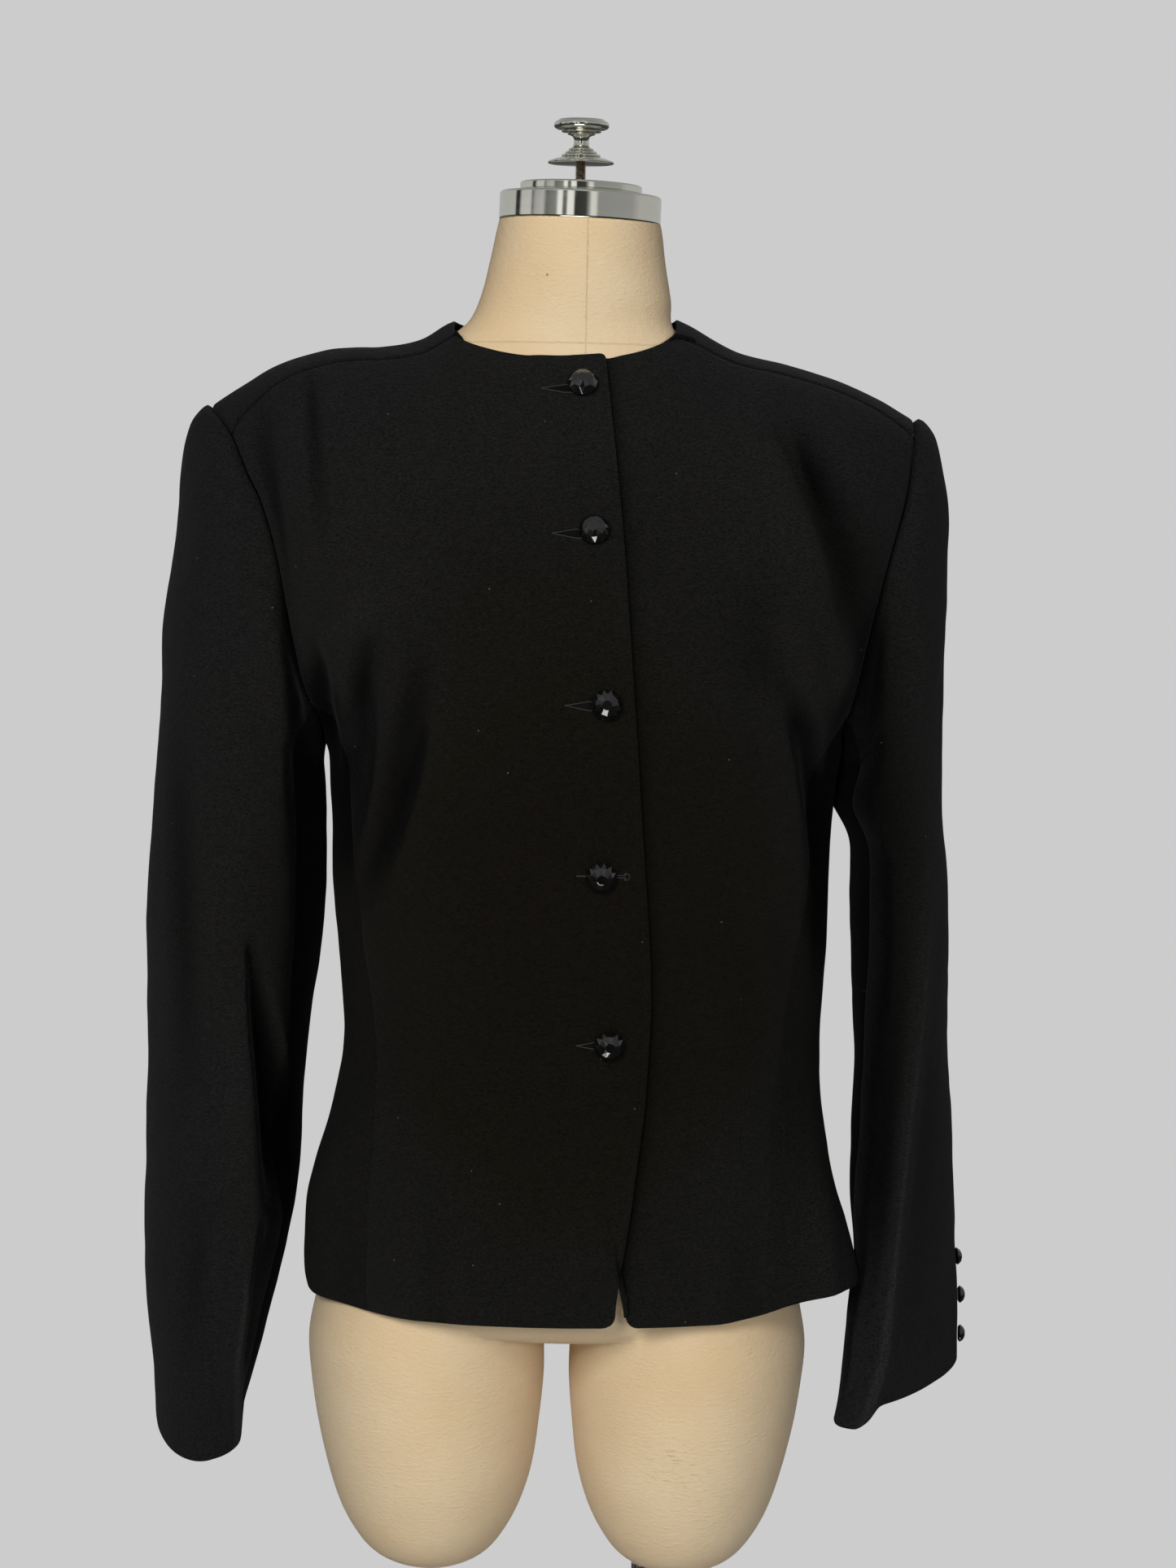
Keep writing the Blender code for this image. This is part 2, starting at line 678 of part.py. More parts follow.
def side_rows(side):
    """Rows of angle and height of a side panel; the highest follow the armhole."""
    rows = []
    for row in range(len(LEVELS) + 2):
        cells = []
        for angle in side_angles(side, LEVELS[row - 1] if 0 < row <= len(LEVELS) else
                                 (hem_z(0) if row == 0 else FOOT_Z)):
            z = level_z(row, angle) if row <= len(LEVELS) else FOOT_Z
            top = armpit_z(angle)
            start = LEVELS[-3]
            if z > start:
                z = start + (top - start) * (z - start) / (FOOT_Z - start)
            cells.append((angle, z))
        rows.append(cells)
    return rows


def side_panel(side, seam):
    """The panel under one arm."""
    cloth, keys = Cloth(), []
    for row, cells in enumerate(side_rows(side)):
        for column, (angle, z) in enumerate(cells):
            cloth.put((row, column), torso_point(angle, z), surface_normal(torso_point, angle, z))
        keys.append([(row, column) for column in range(len(cells))])
    cloth.grid(keys)
    cloth.meet(seam)
    return cloth.build(f"side_{side}", "wool_crepe", SIDE_GAP)


def back_angles(seam_angle):
    """Angles of the back's columns from the wearer's right to the left, 0 at the middle back."""
    angles = []
    for side in ("right", "left"):
        sign, corner = sign_of(side), neck_angle(side)
        outer = spread(seam_angle, corner, BACK_COLUMNS // 2 - NAPE_COLUMNS)
        half = [sign * angle for angle in outer + spread(corner, 0, NAPE_COLUMNS)[1:]]
        angles += half if side == "right" else half[-2::-1]
    return angles


def back_torso(angle, z):
    """The torso's surface by an angle counted from the middle back."""
    return torso_point(math.pi - angle, z)


def back_yoke(angle, climb):
    """The surface behind the crest."""
    return yoke_point(angle, climb, back=True)


def back_panel(seam):
    """The back, from the hem over the crest to the forward seams."""
    cloth, keys = Cloth(), []
    for row in range(len(LEVELS) + 1):
        z = level_z(row, math.pi)
        for column, angle in enumerate(back_angles(side_seam_angle(z, front=False))):
            height = level_z(row, math.pi - angle)
            normal = surface_normal(back_torso, angle, height)
            cloth.put((row, column), back_torso(angle, height), normal)
        keys.append([(row, column) for column in range(BACK_COLUMNS + 1)])
    angles = back_angles(FOOT_ANGLE)
    for step in range(YOKE_ROWS + 1):
        row = len(LEVELS) + 1 + step
        for column, angle in enumerate(angles):
            climb = back_top(angle) * step / YOKE_ROWS
            cloth.put((row, column), back_yoke(angle, climb), surface_normal(back_yoke, angle, climb))
        keys.append([(row, column) for column in range(BACK_COLUMNS + 1)])
    cloth.grid(keys)

    flap = BACK_COLUMNS // 2 - NAPE_COLUMNS
    top = keys[-1]
    for chosen in (top[:flap + 1], top[-flap - 1:]):
        rows = [chosen]
        for step in range(1, CREST_ROWS + 1):
            row = []
            for key in chosen:
                angle = angles[key[1]]
                climb = math.pi / 2 + (front_top(angle) - math.pi / 2) * step / CREST_ROWS
                new = (key[0] + step, key[1])
                cloth.put(new, yoke_point(angle, climb), surface_normal(yoke_point, angle, climb))
                row.append(new)
            rows.append(row)
        cloth.grid(rows)
    cloth.meet(seam)
    return cloth.build("back", "wool_crepe")


def armhole(side):
    """Points of the armhole with the torso's outward direction, from the tip round by the front."""
    sign = sign_of(side)
    angle = sign * FOOT_ANGLE
    top = front_top(angle)
    crest = [math.pi / 2 + (top - math.pi / 2) * step / CREST_ROWS for step in range(CREST_ROWS)]
    loop = [(yoke_point(angle, climb), surface_normal(yoke_point, angle, climb)) for climb in crest]
    for step in range(YOKE_ROWS, -1, -1):
        climb = top * step / YOKE_ROWS
        loop.append((yoke_point(angle, climb), surface_normal(yoke_point, angle, climb)))
    for column in side_rows(side)[-1][1:-1]:
        loop.append((torso_point(*column), surface_normal(torso_point, *column)))
    for step in range(YOKE_ROWS):
        climb = math.pi / 2 * step / YOKE_ROWS
        loop.append((back_yoke(angle, climb), surface_normal(back_yoke, angle, climb)))
    return loop


def loop_angles(loop):
    """The sleeve angle of each armhole point: 0 at the tip, 180 under the arm, by length."""
    lengths = [0.0]
    for i in range(len(loop)):
        lengths.append(lengths[-1] + (loop[(i + 1) % len(loop)][0] - loop[i][0]).length)
    lowest = min(range(len(loop)), key=lambda i: loop[i][0].z)
    low = lengths[lowest]
    angles = []
    for length in lengths[:-1]:
        if length <= low:
            angles.append(180 * length / low)
        else:
            angles.append(180 + 180 * (length - low) / (lengths[-1] - low))
    return angles


def sleeve_ring(side, angle, z):
    """A place on a sleeve ring: angle 0 is the outer side and a right angle the front."""
    rings = SLEEVE[side]
    outer, inner = read(rings, "outer", z), read(rings, "inner", z)
    turn = math.radians(read(rings, "turn", z))
    bend = math.radians(angle)
    x = (outer + inner) / 2 + (outer - inner) / 2 * math.cos(bend - turn)
    y = read(rings, "middle", z) - read(rings, "depth", z) * math.sin(bend)
    lift = fold_height(SLEEVE_FOLDS[side], bend, z)
    x += lift * math.cos(bend)
    y -= lift * math.sin(bend)
    return Vector((sign_of(side) * x, y, z))


def cuff_z(side, angle):
    """The height of the cuff's edge, lowest in front."""
    point = sleeve_ring(side, angle, CUFF_Z[side])
    return CUFF_Z[side] + CUFF_TILT[side] * point.y


def sleeve_column(side, start, angle):
    """One column of a sleeve from its armhole point down to the cuff."""
    down = (1 - math.cos(math.radians(angle))) / 2
    haste = 0.30 + 0.70 * down
    points = []
    for step, t in enumerate(CAP_STEPS):
        t += (step / (len(CAP_STEPS) - 1) - t) * down
        z = start.z + (CAP_END_Z - start.z) * t
        ring = sleeve_ring(side, angle, z)
        share = min(t / 0.5, 1.0) ** haste if t else 0.0
        points.append(Vector((start.x + (ring.x - start.x) * share,
                              start.y + (ring.y - start.y) * share, z)))
    for row in range(1, SLEEVE_ROWS + 1):
        share = row / SLEEVE_ROWS
        turned = angle + (read(CUFF_TWIST, "cuff", angle) - angle) * eased(share)
        z = CAP_END_Z + (cuff_z(side, turned) - CAP_END_Z) * share
        points.append(sleeve_ring(side, turned, z))
    return points


def seam_normal(torso, arm):
    """The outward direction where sleeve and torso meet; under the arm it points down."""
    both = torso + arm
    both.z -= 0.15 * max(-torso.dot(arm), 0.0)
    return both.normalized()


def sleeve_grid(side):
    """All columns of a sleeve, the outward direction at each point, and the columns' angles."""
    loop = armhole(side)
    angles = loop_angles(loop)
    columns = []
    for (start, _), angle in zip(loop, angles):
        columns.append(sleeve_column(side, start, angle))
    count, rows = len(columns), len(columns[0])
    normals = []
    for i in range(count):
        column = []
        for row in range(rows):
            across = columns[(i + 1) % count][row] - columns[i - 1][row]
            along = columns[i][min(row + 1, rows - 1)] - columns[i][max(row - 1, 0)]
            column.append(sign_of(side) * crossing(across, along))
        column[0] = seam_normal(loop[i][1], column[0])
        normals.append(column)
    return columns, normals, angles


def nearest(values, goal):
    """The index of the value nearest a goal."""
    return min(range(len(values)), key=lambda i: abs(values[i] - goal))


def sleeve(side):
    """The upper and under piece of one sleeve; gives back the armhole seam."""
    columns, normals, angles = sleeve_grid(side)
    count = len(columns)
    front = nearest(angles, FRONT_SEAM_ANGLE)
    back = nearest(angles, BACK_SEAM_ANGLE)
    for name, chosen in (("upper", range(back, count + front + 1)), ("under", range(front, back + 1))):
        cloth, keys = Cloth(), []
        for row in range(len(columns[0])):
            for i in chosen:
                cloth.put((row, i), columns[i % count][row], normals[i % count][row])
            keys.append([(row, i) for i in chosen])
        cloth.grid(keys)
        cloth.build(f"sleeve_{name}_{side}", "wool_crepe")
    return [(column[0], normal[0]) for column, normal in zip(columns, normals)]


def turned(name, profile, finish, sides, place=(0, 0, 0)):
    """A solid turned about its upright axis from radius and height."""
    mesh = bmesh.new()
    rings = []
    for radius, z in profile:
        if radius == 0:
            rings.append([mesh.verts.new((0, 0, z))])
        else:
            bends = [2 * math.pi * i / sides for i in range(sides)]
            rings.append([mesh.verts.new((radius * math.cos(b), radius * math.sin(b), z)) for b in bends])
    for low, high in zip(rings, rings[1:]):
        for i in range(sides):
            j = (i + 1) % sides
            if len(low) == 1:
                mesh.faces.new((low[0], high[i], high[j]))
            elif len(high) == 1:
                mesh.faces.new((low[i], low[j], high[0]))
            else:
                mesh.faces.new((low[i], low[j], high[j], high[i]))
    body = add_object(name, mesh, finish)
    body.location = place
    return body


def faceted_button(name, place, outward, radius, height):
    """A domed button with cut facets, standing clear of the cloth by a seam's gap."""
    rings = ((0.72, 0.0, 0.0), (1.0, 0.30, 0.5), (0.74, 0.74, 0.0), (0.34, 1.0, 0.5))
    mesh = bmesh.new()
    made = []
    for share, up, shift in rings:
        bends = [2 * math.pi * (i + shift) / BUTTON_FACETS for i in range(BUTTON_FACETS)]
        made.append([mesh.verts.new((radius * share * math.cos(b), radius * share * math.sin(b),
                                     height * up)) for b in bends])
    for ring, (low, high) in enumerate(zip(made, made[1:])):
        ahead = 1 if rings[ring][2] > rings[ring + 1][2] else 0
        for i in range(BUTTON_FACETS):
            j = (i + 1) % BUTTON_FACETS
            if ahead:
                mesh.faces.new((low[i], high[j], high[i]))
                mesh.faces.new((low[i], low[j], high[j]))
            else:
                mesh.faces.new((low[i], low[j], high[i]))
                mesh.faces.new((low[j], high[j], high[i]))
    mesh.faces.new(made[0][::-1])
    mesh.faces.new(made[-1])
    body = add_object(name, mesh, "black_glass", smooth_under=math.radians(5))
    body.rotation_mode = "QUATERNION"
    body.rotation_quaternion = outward.to_track_quat("Z", "Y")
    body.location = place + outward * BUTTON_SEAT
    return body


def front_surface_at(x, z):
    """A place on the right front, and the outward direction there."""
    if z < FOOT_Z:
        angle = solve(lambda a: torso_point(a, z).x - x, -0.9, 0.9)
        point, normal = torso_point(angle, z), surface_normal(torso_point, angle, z)
    else:
        def climb_at(angle):
            return solve(lambda c: yoke_point(angle, c).z - z, 0.02, math.pi / 2)
        angle = solve(lambda a: yoke_point(a, climb_at(a)).x - x, -0.6, 0.6)
        climb = climb_at(angle)
        point, normal = yoke_point(angle, climb), surface_normal(yoke_point, angle, climb)
    return point + normal * lap_lift(True, point.x, point.z), normal


def add_buttons():
    """Five buttons down the front and three at each cuff."""
    for number, (x, z) in enumerate(BUTTON_CENTRES, 1):
        place, outward = front_surface_at(x, z)
        faceted_button(f"button_{number}", place, outward, BUTTON_RADIUS, BUTTON_HEIGHT)
    for side in ("right", "left"):
        angle = math.degrees(CUFF_BUTTON_ANGLE)

        def around(turn, z):
            return sleeve_ring(side, math.degrees(turn), z)
        for number in range(3):
            z = CUFF_BUTTON_LOWEST[side] + number * CUFF_BUTTON_PITCH
            place = sleeve_ring(side, angle, z)
            across = around(CUFF_BUTTON_ANGLE + 0.02, z) - around(CUFF_BUTTON_ANGLE - 0.02, z)
            along = around(CUFF_BUTTON_ANGLE, z + 0.002) - around(CUFF_BUTTON_ANGLE, z - 0.002)
            outward = crossing(across, along)
            if outward.x * sign_of(side) < 0:
                outward.negate()
            name = f"cuff_button_{side}_{number + 1}"
            faceted_button(name, place, outward, CUFF_BUTTON_RADIUS, CUFF_BUTTON_HEIGHT)


def lofted(rings):
    """A closed mesh through rings of points, with flat ends."""
    mesh = bmesh.new()
    made = [[mesh.verts.new(point) for point in ring] for ring in rings]
    for low, high in zip(made, made[1:]):
        for i in range(len(low)):
            j = (i + 1) % len(low)
            mesh.faces.new((low[i], low[j], high[j], high[i]))
    mesh.faces.new(made[0][::-1])
    mesh.faces.new(made[-1])
    return mesh


def form_ring(z, sides=32):
    """One ring of the dress form's torso or neck."""
    return [ring_point(2 * math.pi * i / sides, z, FORM) for i in range(sides)]


def stump_ring(side, z, sides=24):
    """One ring of a stump."""
    middle, wide = read(STUMP, "middle", z), read(STUMP, "wide", z)
    ring = []
    for i in range(sides):
        bend = 2 * math.pi * i / sides
        deep = read(STUMP, "front" if math.cos(bend) > 0 else "back", z)
        ring.append(Vector((sign_of(side) * middle + wide * math.sin(bend), -deep * math.cos(bend), z)))
    return ring


def dress_form():
    """The limbless form: torso, neck and two short closed stumps in one smooth solid."""
    form = add_object("dress_form", lofted([form_ring(z) for z in FORM["z"]]), "form_jersey")
    for side in ("right", "left"):
        rings = [stump_ring(side, z) for z in STUMP["z"]]
        stump = add_object(f"stump_{side}", lofted(rings), "form_jersey")
        stump.hide_render = True
        stump.display_type = "WIRE"
        join = form.modifiers.new(f"join_{side}", "BOOLEAN")
        join.operation = "UNION"
        join.solver = "EXACT"
        join.object = stump


def stand():
    """The cap and screw on the neck, and the pole with its collar and round plate."""
    turned("neck_cap", CAP_PROFILE, "chrome", 32)
    turned("neck_screw", SCREW_PROFILE, "chrome", 20)
    turned("base_plate", PLATE_PROFILE, "chrome", 48)
    low = PLATE_THICK + SEAM_GAP
    collar = ((0.0, low), (COLLAR_RADIUS, low), (COLLAR_RADIUS, low + COLLAR_HEIGHT - 0.003),
              (COLLAR_RADIUS - 0.003, low + COLLAR_HEIGHT), (0.0, low + COLLAR_HEIGHT))
    turned("pole_collar", collar, "chrome", 24, (POLE_X, 0, 0))
    foot = low + COLLAR_HEIGHT + SEAM_GAP
    top = STUMP_FOOT - SEAM_GAP
    pole = ((0.0, foot), (POLE_RADIUS, foot), (POLE_RADIUS, top), (0.0, top))
    turned("pole", pole, "chrome", 20, (POLE_X, 0, 0))


def build():
    """Makes every piece."""
    for old in list(bpy.data.objects):
        bpy.data.objects.remove(old, do_unlink=True)
    armholes = []
    for side in ("right", "left"):
        seam = sleeve(side)
        front_panel(side, seam)
        side_panel(side, seam)
        armholes += seam
    back_panel(armholes)
    add_buttons()
    dress_form()
    stand()


build()
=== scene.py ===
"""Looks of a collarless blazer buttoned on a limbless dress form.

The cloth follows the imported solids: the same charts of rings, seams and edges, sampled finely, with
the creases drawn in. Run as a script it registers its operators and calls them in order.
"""
import math

import bpy
import numpy as np
from bpy.props import FloatProperty, FloatVectorProperty, IntProperty, PointerProperty
from mathutils import Matrix, Vector, noise
from mathutils.bvhtree import BVHTree
from mathutils.kdtree import KDTree

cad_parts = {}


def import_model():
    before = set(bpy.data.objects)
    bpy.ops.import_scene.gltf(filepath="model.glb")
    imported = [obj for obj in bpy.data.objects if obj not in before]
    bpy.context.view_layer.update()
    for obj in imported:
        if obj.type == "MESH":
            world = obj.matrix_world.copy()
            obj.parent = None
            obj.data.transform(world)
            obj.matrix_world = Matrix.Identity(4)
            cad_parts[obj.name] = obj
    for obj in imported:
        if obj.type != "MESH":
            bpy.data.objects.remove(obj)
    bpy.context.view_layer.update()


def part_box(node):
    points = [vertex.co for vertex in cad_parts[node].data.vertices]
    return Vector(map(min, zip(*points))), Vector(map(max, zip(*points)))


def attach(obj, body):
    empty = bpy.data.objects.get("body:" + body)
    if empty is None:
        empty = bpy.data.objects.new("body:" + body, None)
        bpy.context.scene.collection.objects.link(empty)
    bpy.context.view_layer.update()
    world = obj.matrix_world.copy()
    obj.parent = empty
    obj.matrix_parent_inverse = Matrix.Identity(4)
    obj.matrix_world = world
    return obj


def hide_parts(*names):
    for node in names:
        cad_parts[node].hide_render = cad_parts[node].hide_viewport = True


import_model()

bl_info = {
    "name": "Blazer on a dress form",
    "version": (1, 0, 0),
    "blender": (4, 5, 0),
    "location": "3D View > Sidebar > Blazer",
    "description": "Makes the cloth, buttons, form, stand and studio around the packed solids",
    "category": "Object",
}

SIDES = ("right", "left")
SHELLS = {}

# Levels and angles that the pieces share
HEM_Z = 0.75
FOOT_Z = 1.125
FOOT_ANGLE = math.radians(62)
ARMPIT_DIP = 0.03
ARMPIT_POWER = 1.8
CREST_Y = 0.005
CAP_END_Z = 1.06
ARM_X = 0.21
RING_POWER = 2.4
LAP_RISE = 0.0015
HEM_CORNER = 0.007
NECK_CORNER = 0.0035
NECK_STAND = 0.0026

# Lengths of the pieces along the cloth, near enough to space their points
CHEST_WIDTH = 0.17
PLACKET_WIDTH = 0.085
NAPE_WIDTH = 0.075
YOKE_LENGTH = 0.26
FLAP_LENGTH = 0.04
SIDE_LENGTH = 0.36
SIDE_WIDTH = 0.11
CAP_LENGTH = 0.22

# Neckline in plan: how far the neck points lie from the middle, and the depth before and behind
NECK_POINT = {"right": 0.0777, "left": 0.0624}
NECK_FORWARD = 0.018
SEAM_FORWARD = {"right": 0.041, "left": 0.034}
SEAM_FORWARD_AT_NECK = 0.03
NECK_FRONT_Y = -0.052
NECK_BACK_Y = 0.062
NECK_POWER = 2.2

# Fastenings
BUTTON_RADIUS = 0.0095
BUTTON_HEIGHT = 0.009
CUFF_BUTTON_RADIUS = 0.0057
CUFF_BUTTON_HEIGHT = 0.0046
FIRST_BUTTON_DROP = 0.0022
BUTTON_SPIN = math.radians(37)
SHANK_GAP = 0.0004
THREAD_RADIUS = 0.0002
THREAD_LIFT = 0.0001
PURL_RADIUS = 0.00034
PURL_LIFT = 0.00035
PURL_PITCH = 0.00045
GAP_LIFT = 0.00012


def chart(names, rows):
    """Columns by name, read against the first one, which rises."""
    rows = np.array(sorted(rows), float)
    return {name: rows[:, i] for i, name in enumerate(names.split())}


def read(columns, name, at):
    """A smooth reading of one column at values of the first column."""
    keys = next(iter(columns.values()))
    values = columns[name]
    at = np.clip(at, keys[0], keys[-1])
    i = np.clip(np.searchsorted(keys, at, side="right") - 1, 0, len(keys) - 2)
    order = np.arange(len(keys))
    before, after = np.maximum(order - 1, 0), np.minimum(order + 1, len(keys) - 1)
    slopes = (values[after] - values[before]) / (keys[after] - keys[before])
    span = keys[i + 1] - keys[i]
    t = (at - keys[i]) / span
    first, second = span * slopes[i], span * slopes[i + 1]
    rise = values[i + 1] - values[i]
    return (values[i] + t * first + t * t * (3 * rise - 2 * first - second)
            + t * t * t * (first + second - 2 * rise))


# Rings of the torso: half-widths each side of the middle, depth before and behind it
BODY = chart("z right left front back", [
    (0.74, 0.154, 0.1785, 0.122, 0.124), (0.76, 0.1585, 0.1785, 0.1215, 0.1235),
    (0.78, 0.159, 0.177, 0.12, 0.1215), (0.805, 0.1578, 0.175, 0.1175, 0.118),
    (0.83, 0.153, 0.1715, 0.1145, 0.113), (0.869, 0.144, 0.1635, 0.11, 0.105),
    (0.904, 0.139, 0.163, 0.1075, 0.101), (0.937, 0.14, 0.1635, 0.109, 0.0995),
    (1.0, 0.1465, 0.1655, 0.118, 0.105), (1.06, 0.149, 0.167, 0.126, 0.111),
    (1.095, 0.1535, 0.172, 0.1292, 0.114), (1.125, 0.1775, 0.192, 0.13, 0.115)])

# Shoulder line in the front view, from the middle outwards, one side at a time
CREST = {
    "right": chart("x z", [
        (0.0, 1.385), (0.0777, 1.3575), (0.098, 1.3455), (0.122, 1.3405), (0.139, 1.34),
        (0.158, 1.3375), (0.187, 1.328), (0.214, 1.311), (0.228, 1.3015)]),
    "left": chart("x z", [
        (0.0, 1.385), (0.0624, 1.361), (0.097, 1.3435), (0.131, 1.3345), (0.163, 1.325),
        (0.189, 1.314), (0.2115, 1.3015)]),
}
TIP = {"right": 0.228, "left": 0.2115}

# Armhole seam in the front view
ARMHOLE = chart("z right left", [
    (1.125, 0.16, 0.173), (1.139, 0.165, 0.1765), (1.174, 0.173, 0.184), (1.215, 0.182, 0.194),
    (1.245, 0.192, 0.202), (1.26, 0.2, 0.2053), (1.282, 0.2105, 0.2085), (1.292, 0.218, 0.21),
    (1.3015, 0.228, 0.2115)])

# How pointed or square the profile over the shoulder is, from the middle to the armhole
PROFILE = chart("share front back", [
    (0.0, 1.5, 2.2), (0.5, 1.9, 2.25), (1.0, 2.5, 2.4)])

# Free edges of the two fronts, x of the seen upper edge and of the covered under edge
FRONT_EDGE = chart("z upper under", [
    (0.74, 0.0345, 0.043), (0.755, 0.035, 0.0425), (0.776, 0.0377, 0.0385), (0.82, 0.044, 0.027),
    (0.883, 0.0504, 0.015), (0.951, 0.0523, 0.008), (1.055, 0.0445, 0.0055), (1.13, 0.0385, 0.003),
    (1.24, 0.0287, -0.008), (1.336, 0.017, -0.018)])

# Seams of the side panels, as angles from the front and from the back
SIDE_SEAM = chart("z front back", [
    (0.74, 45, 46), (0.8, 45, 46), (0.905, 52, 52), (1.0, 58, 58), (1.095, 62, 62), (1.125, 62, 62)])

# Largest soft folds of the torso: where, how far up and round they reach, how far they stand out
TORSO_FOLDS = chart("angle z reach spread height", [
    (-78, 0.77, 0.085, 13, 0.0035), (-52, 0.765, 0.07, 10, -0.003), (-24, 0.76, 0.08, 14, 0.0025),
    (26, 0.765, 0.07, 12, -0.003), (48, 0.765, 0.07, 9, -0.003), (74, 0.757, 0.052, 13, 0.016),
    (118, 0.905, 0.06, 14, -0.003), (150, 0.78, 0.1, 13, 0.004), (180, 0.9, 0.09, 18, -0.003),
    (-140, 0.78, 0.1, 13, 0.0035), (-112, 0.905, 0.06, 14, -0.003)])

# Rings of the sleeves: reach of the outer and inner side, middle and half-depth, turn of the oval
SLEEVE = {
    "right": chart("z outer inner middle depth turn", [
        (0.64, 0.254, 0.2025, -0.006, 0.048, -12), (0.66, 0.2565, 0.2005, -0.005, 0.0485, -12),
        (0.684, 0.2585, 0.1945, -0.004, 0.05, -12), (0.7145, 0.262, 0.187, -0.002, 0.052, -10),
        (0.75, 0.265, 0.179, 0.001, 0.054, -8), (0.785, 0.266, 0.171, 0.004, 0.056, -6),
        (0.833, 0.2665, 0.165, 0.007, 0.059, -4), (0.888, 0.268, 0.1605, 0.009, 0.061, 0),
        (0.94, 0.268, 0.156, 0.01, 0.063, 0), (0.992, 0.266, 0.153, 0.008, 0.064, 0),
        (1.046, 0.263, 0.1528, 0.005, 0.065, 0), (1.07, 0.261, 0.1538, 0.004, 0.066, 0),
        (1.096, 0.259, 0.156, 0.003, 0.0665, 0), (1.1685, 0.256, 0.154, 0.002, 0.069, 0),
        (1.201, 0.253, 0.156, 0.002, 0.069, 0), (1.242, 0.248, 0.16, 0.002, 0.067, 0),
        (1.267, 0.2445, 0.164, 0.002, 0.064, 0), (1.294, 0.239, 0.17, 0.002, 0.06, 0)]),
    "left": chart("z outer inner middle depth turn", [
        (0.67, 0.26, 0.175, -0.006, 0.052, -52), (0.695, 0.2606, 0.1793, -0.005, 0.053, -50),
        (0.7175, 0.2608, 0.1807, -0.004, 0.0545, -46), (0.744, 0.2595, 0.1845, 0.008, 0.054, -40),
        (0.76, 0.2585, 0.1895, 0.012, 0.0545, -36), (0.78, 0.257, 0.1898, 0.013, 0.057, -32),
        (0.805, 0.255, 0.186, 0.012, 0.061, -26), (0.845, 0.2525, 0.1835, 0.01, 0.064, -16),
        (0.897, 0.249, 0.1825, 0.009, 0.067, -8), (0.97, 0.2439, 0.1808, 0.009, 0.07, 0),
        (1.012, 0.241, 0.1806, 0.008, 0.0715, 0), (1.0433, 0.238, 0.1803, 0.006, 0.072, 0),
        (1.0535, 0.237, 0.17, 0.005, 0.072, 0), (1.062, 0.236, 0.166, 0.004, 0.072, 0),
        (1.095, 0.2348, 0.1725, 0.003, 0.073, 0), (1.157, 0.2354, 0.175, 0.002, 0.0725, 0),
        (1.198, 0.2352, 0.174, 0.002, 0.071, 0), (1.239, 0.2339, 0.176, 0.002, 0.068, 0),
        (1.26, 0.2327, 0.178, 0.002, 0.064, 0), (1.287, 0.2268, 0.18, 0.002, 0.06, 0)]),
}
CUFF_Z = {"right": 0.6555, "left": 0.681}
CUFF_TILT = {"right": 0.25, "left": 0.13}
CUFF_RISE = {"right": 0.0, "left": 0.0115}
CUFF_STEP = {"right": 0.024, "left": 0.0}
CUFF_TWIST = chart("cap cuff", [(0, 0), (136, 146), (236, 292), (360, 360)])
FRONT_SEAM_ANGLE = 136
BACK_SEAM_ANGLE = 236
SLEEVE_FOLDS = {
    "right": chart("angle z reach spread height", [
        (28, 0.905, 0.06, 34, -0.0045), (75, 0.955, 0.05, 30, 0.0035), (88, 0.862, 0.04, 34, -0.004),
        (120, 0.79, 0.05, 30, 0.004), (205, 0.9, 0.06, 40, -0.0045)]),
    "left": chart("angle z reach spread height", [
        (30, 0.89, 0.06, 34, -0.004), (80, 0.965, 0.045, 30, 0.0035), (100, 0.86, 0.045, 34, -0.0035),
        (130, 0.78, 0.05, 30, 0.0035), (210, 0.9, 0.06, 40, -0.004)]),
}

# Rings of the dress form: its torso and neck, then one of its two stumps
FORM = chart("z right left front back power", [
    (0.726, 0.115, 0.115, 0.07, 0.074, 2.4), (0.733, 0.138, 0.138, 0.088, 0.093, 2.4),
    (0.745, 0.149, 0.15, 0.098, 0.104, 2.4), (0.765, 0.1535, 0.156, 0.105, 0.112, 2.4),
    (0.8, 0.1525, 0.156, 0.108, 0.11, 2.4), (0.835, 0.147, 0.15, 0.104, 0.102, 2.4),
    (0.87, 0.138, 0.14, 0.099, 0.094, 2.4), (0.905, 0.132, 0.135, 0.096, 0.09, 2.4),
    (0.94, 0.1325, 0.136, 0.098, 0.089, 2.4), (1.0, 0.138, 0.143, 0.106, 0.095, 2.4),
    (1.06, 0.141, 0.145, 0.116, 0.101, 2.4), (1.11, 0.143, 0.147, 0.12, 0.104, 2.4),
    (1.16, 0.148, 0.151, 0.113, 0.104, 2.4), (1.21, 0.153, 0.155, 0.097, 0.1, 2.4),
    (1.25, 0.154, 0.155, 0.082, 0.093, 2.3), (1.285, 0.145, 0.145, 0.068, 0.083, 2.2),
    (1.31, 0.127, 0.127, 0.056, 0.072, 2.1), (1.325, 0.112, 0.112, 0.049, 0.064, 2.0),
    (1.3352, 0.0985, 0.093, 0.045, 0.059, 2.0), (1.345, 0.084, 0.072, 0.042, 0.055, 2.0),
    (1.356, 0.069, 0.0595, 0.042, 0.053, 2.0), (1.372, 0.061, 0.058, 0.0445, 0.0535, 2.0),
    (1.395, 0.0553, 0.054, 0.0475, 0.053, 2.0), (1.414, 0.0515, 0.0515, 0.049, 0.0515, 2.0),
    (1.4205, 0.05, 0.05, 0.0485, 0.05, 2.0)])
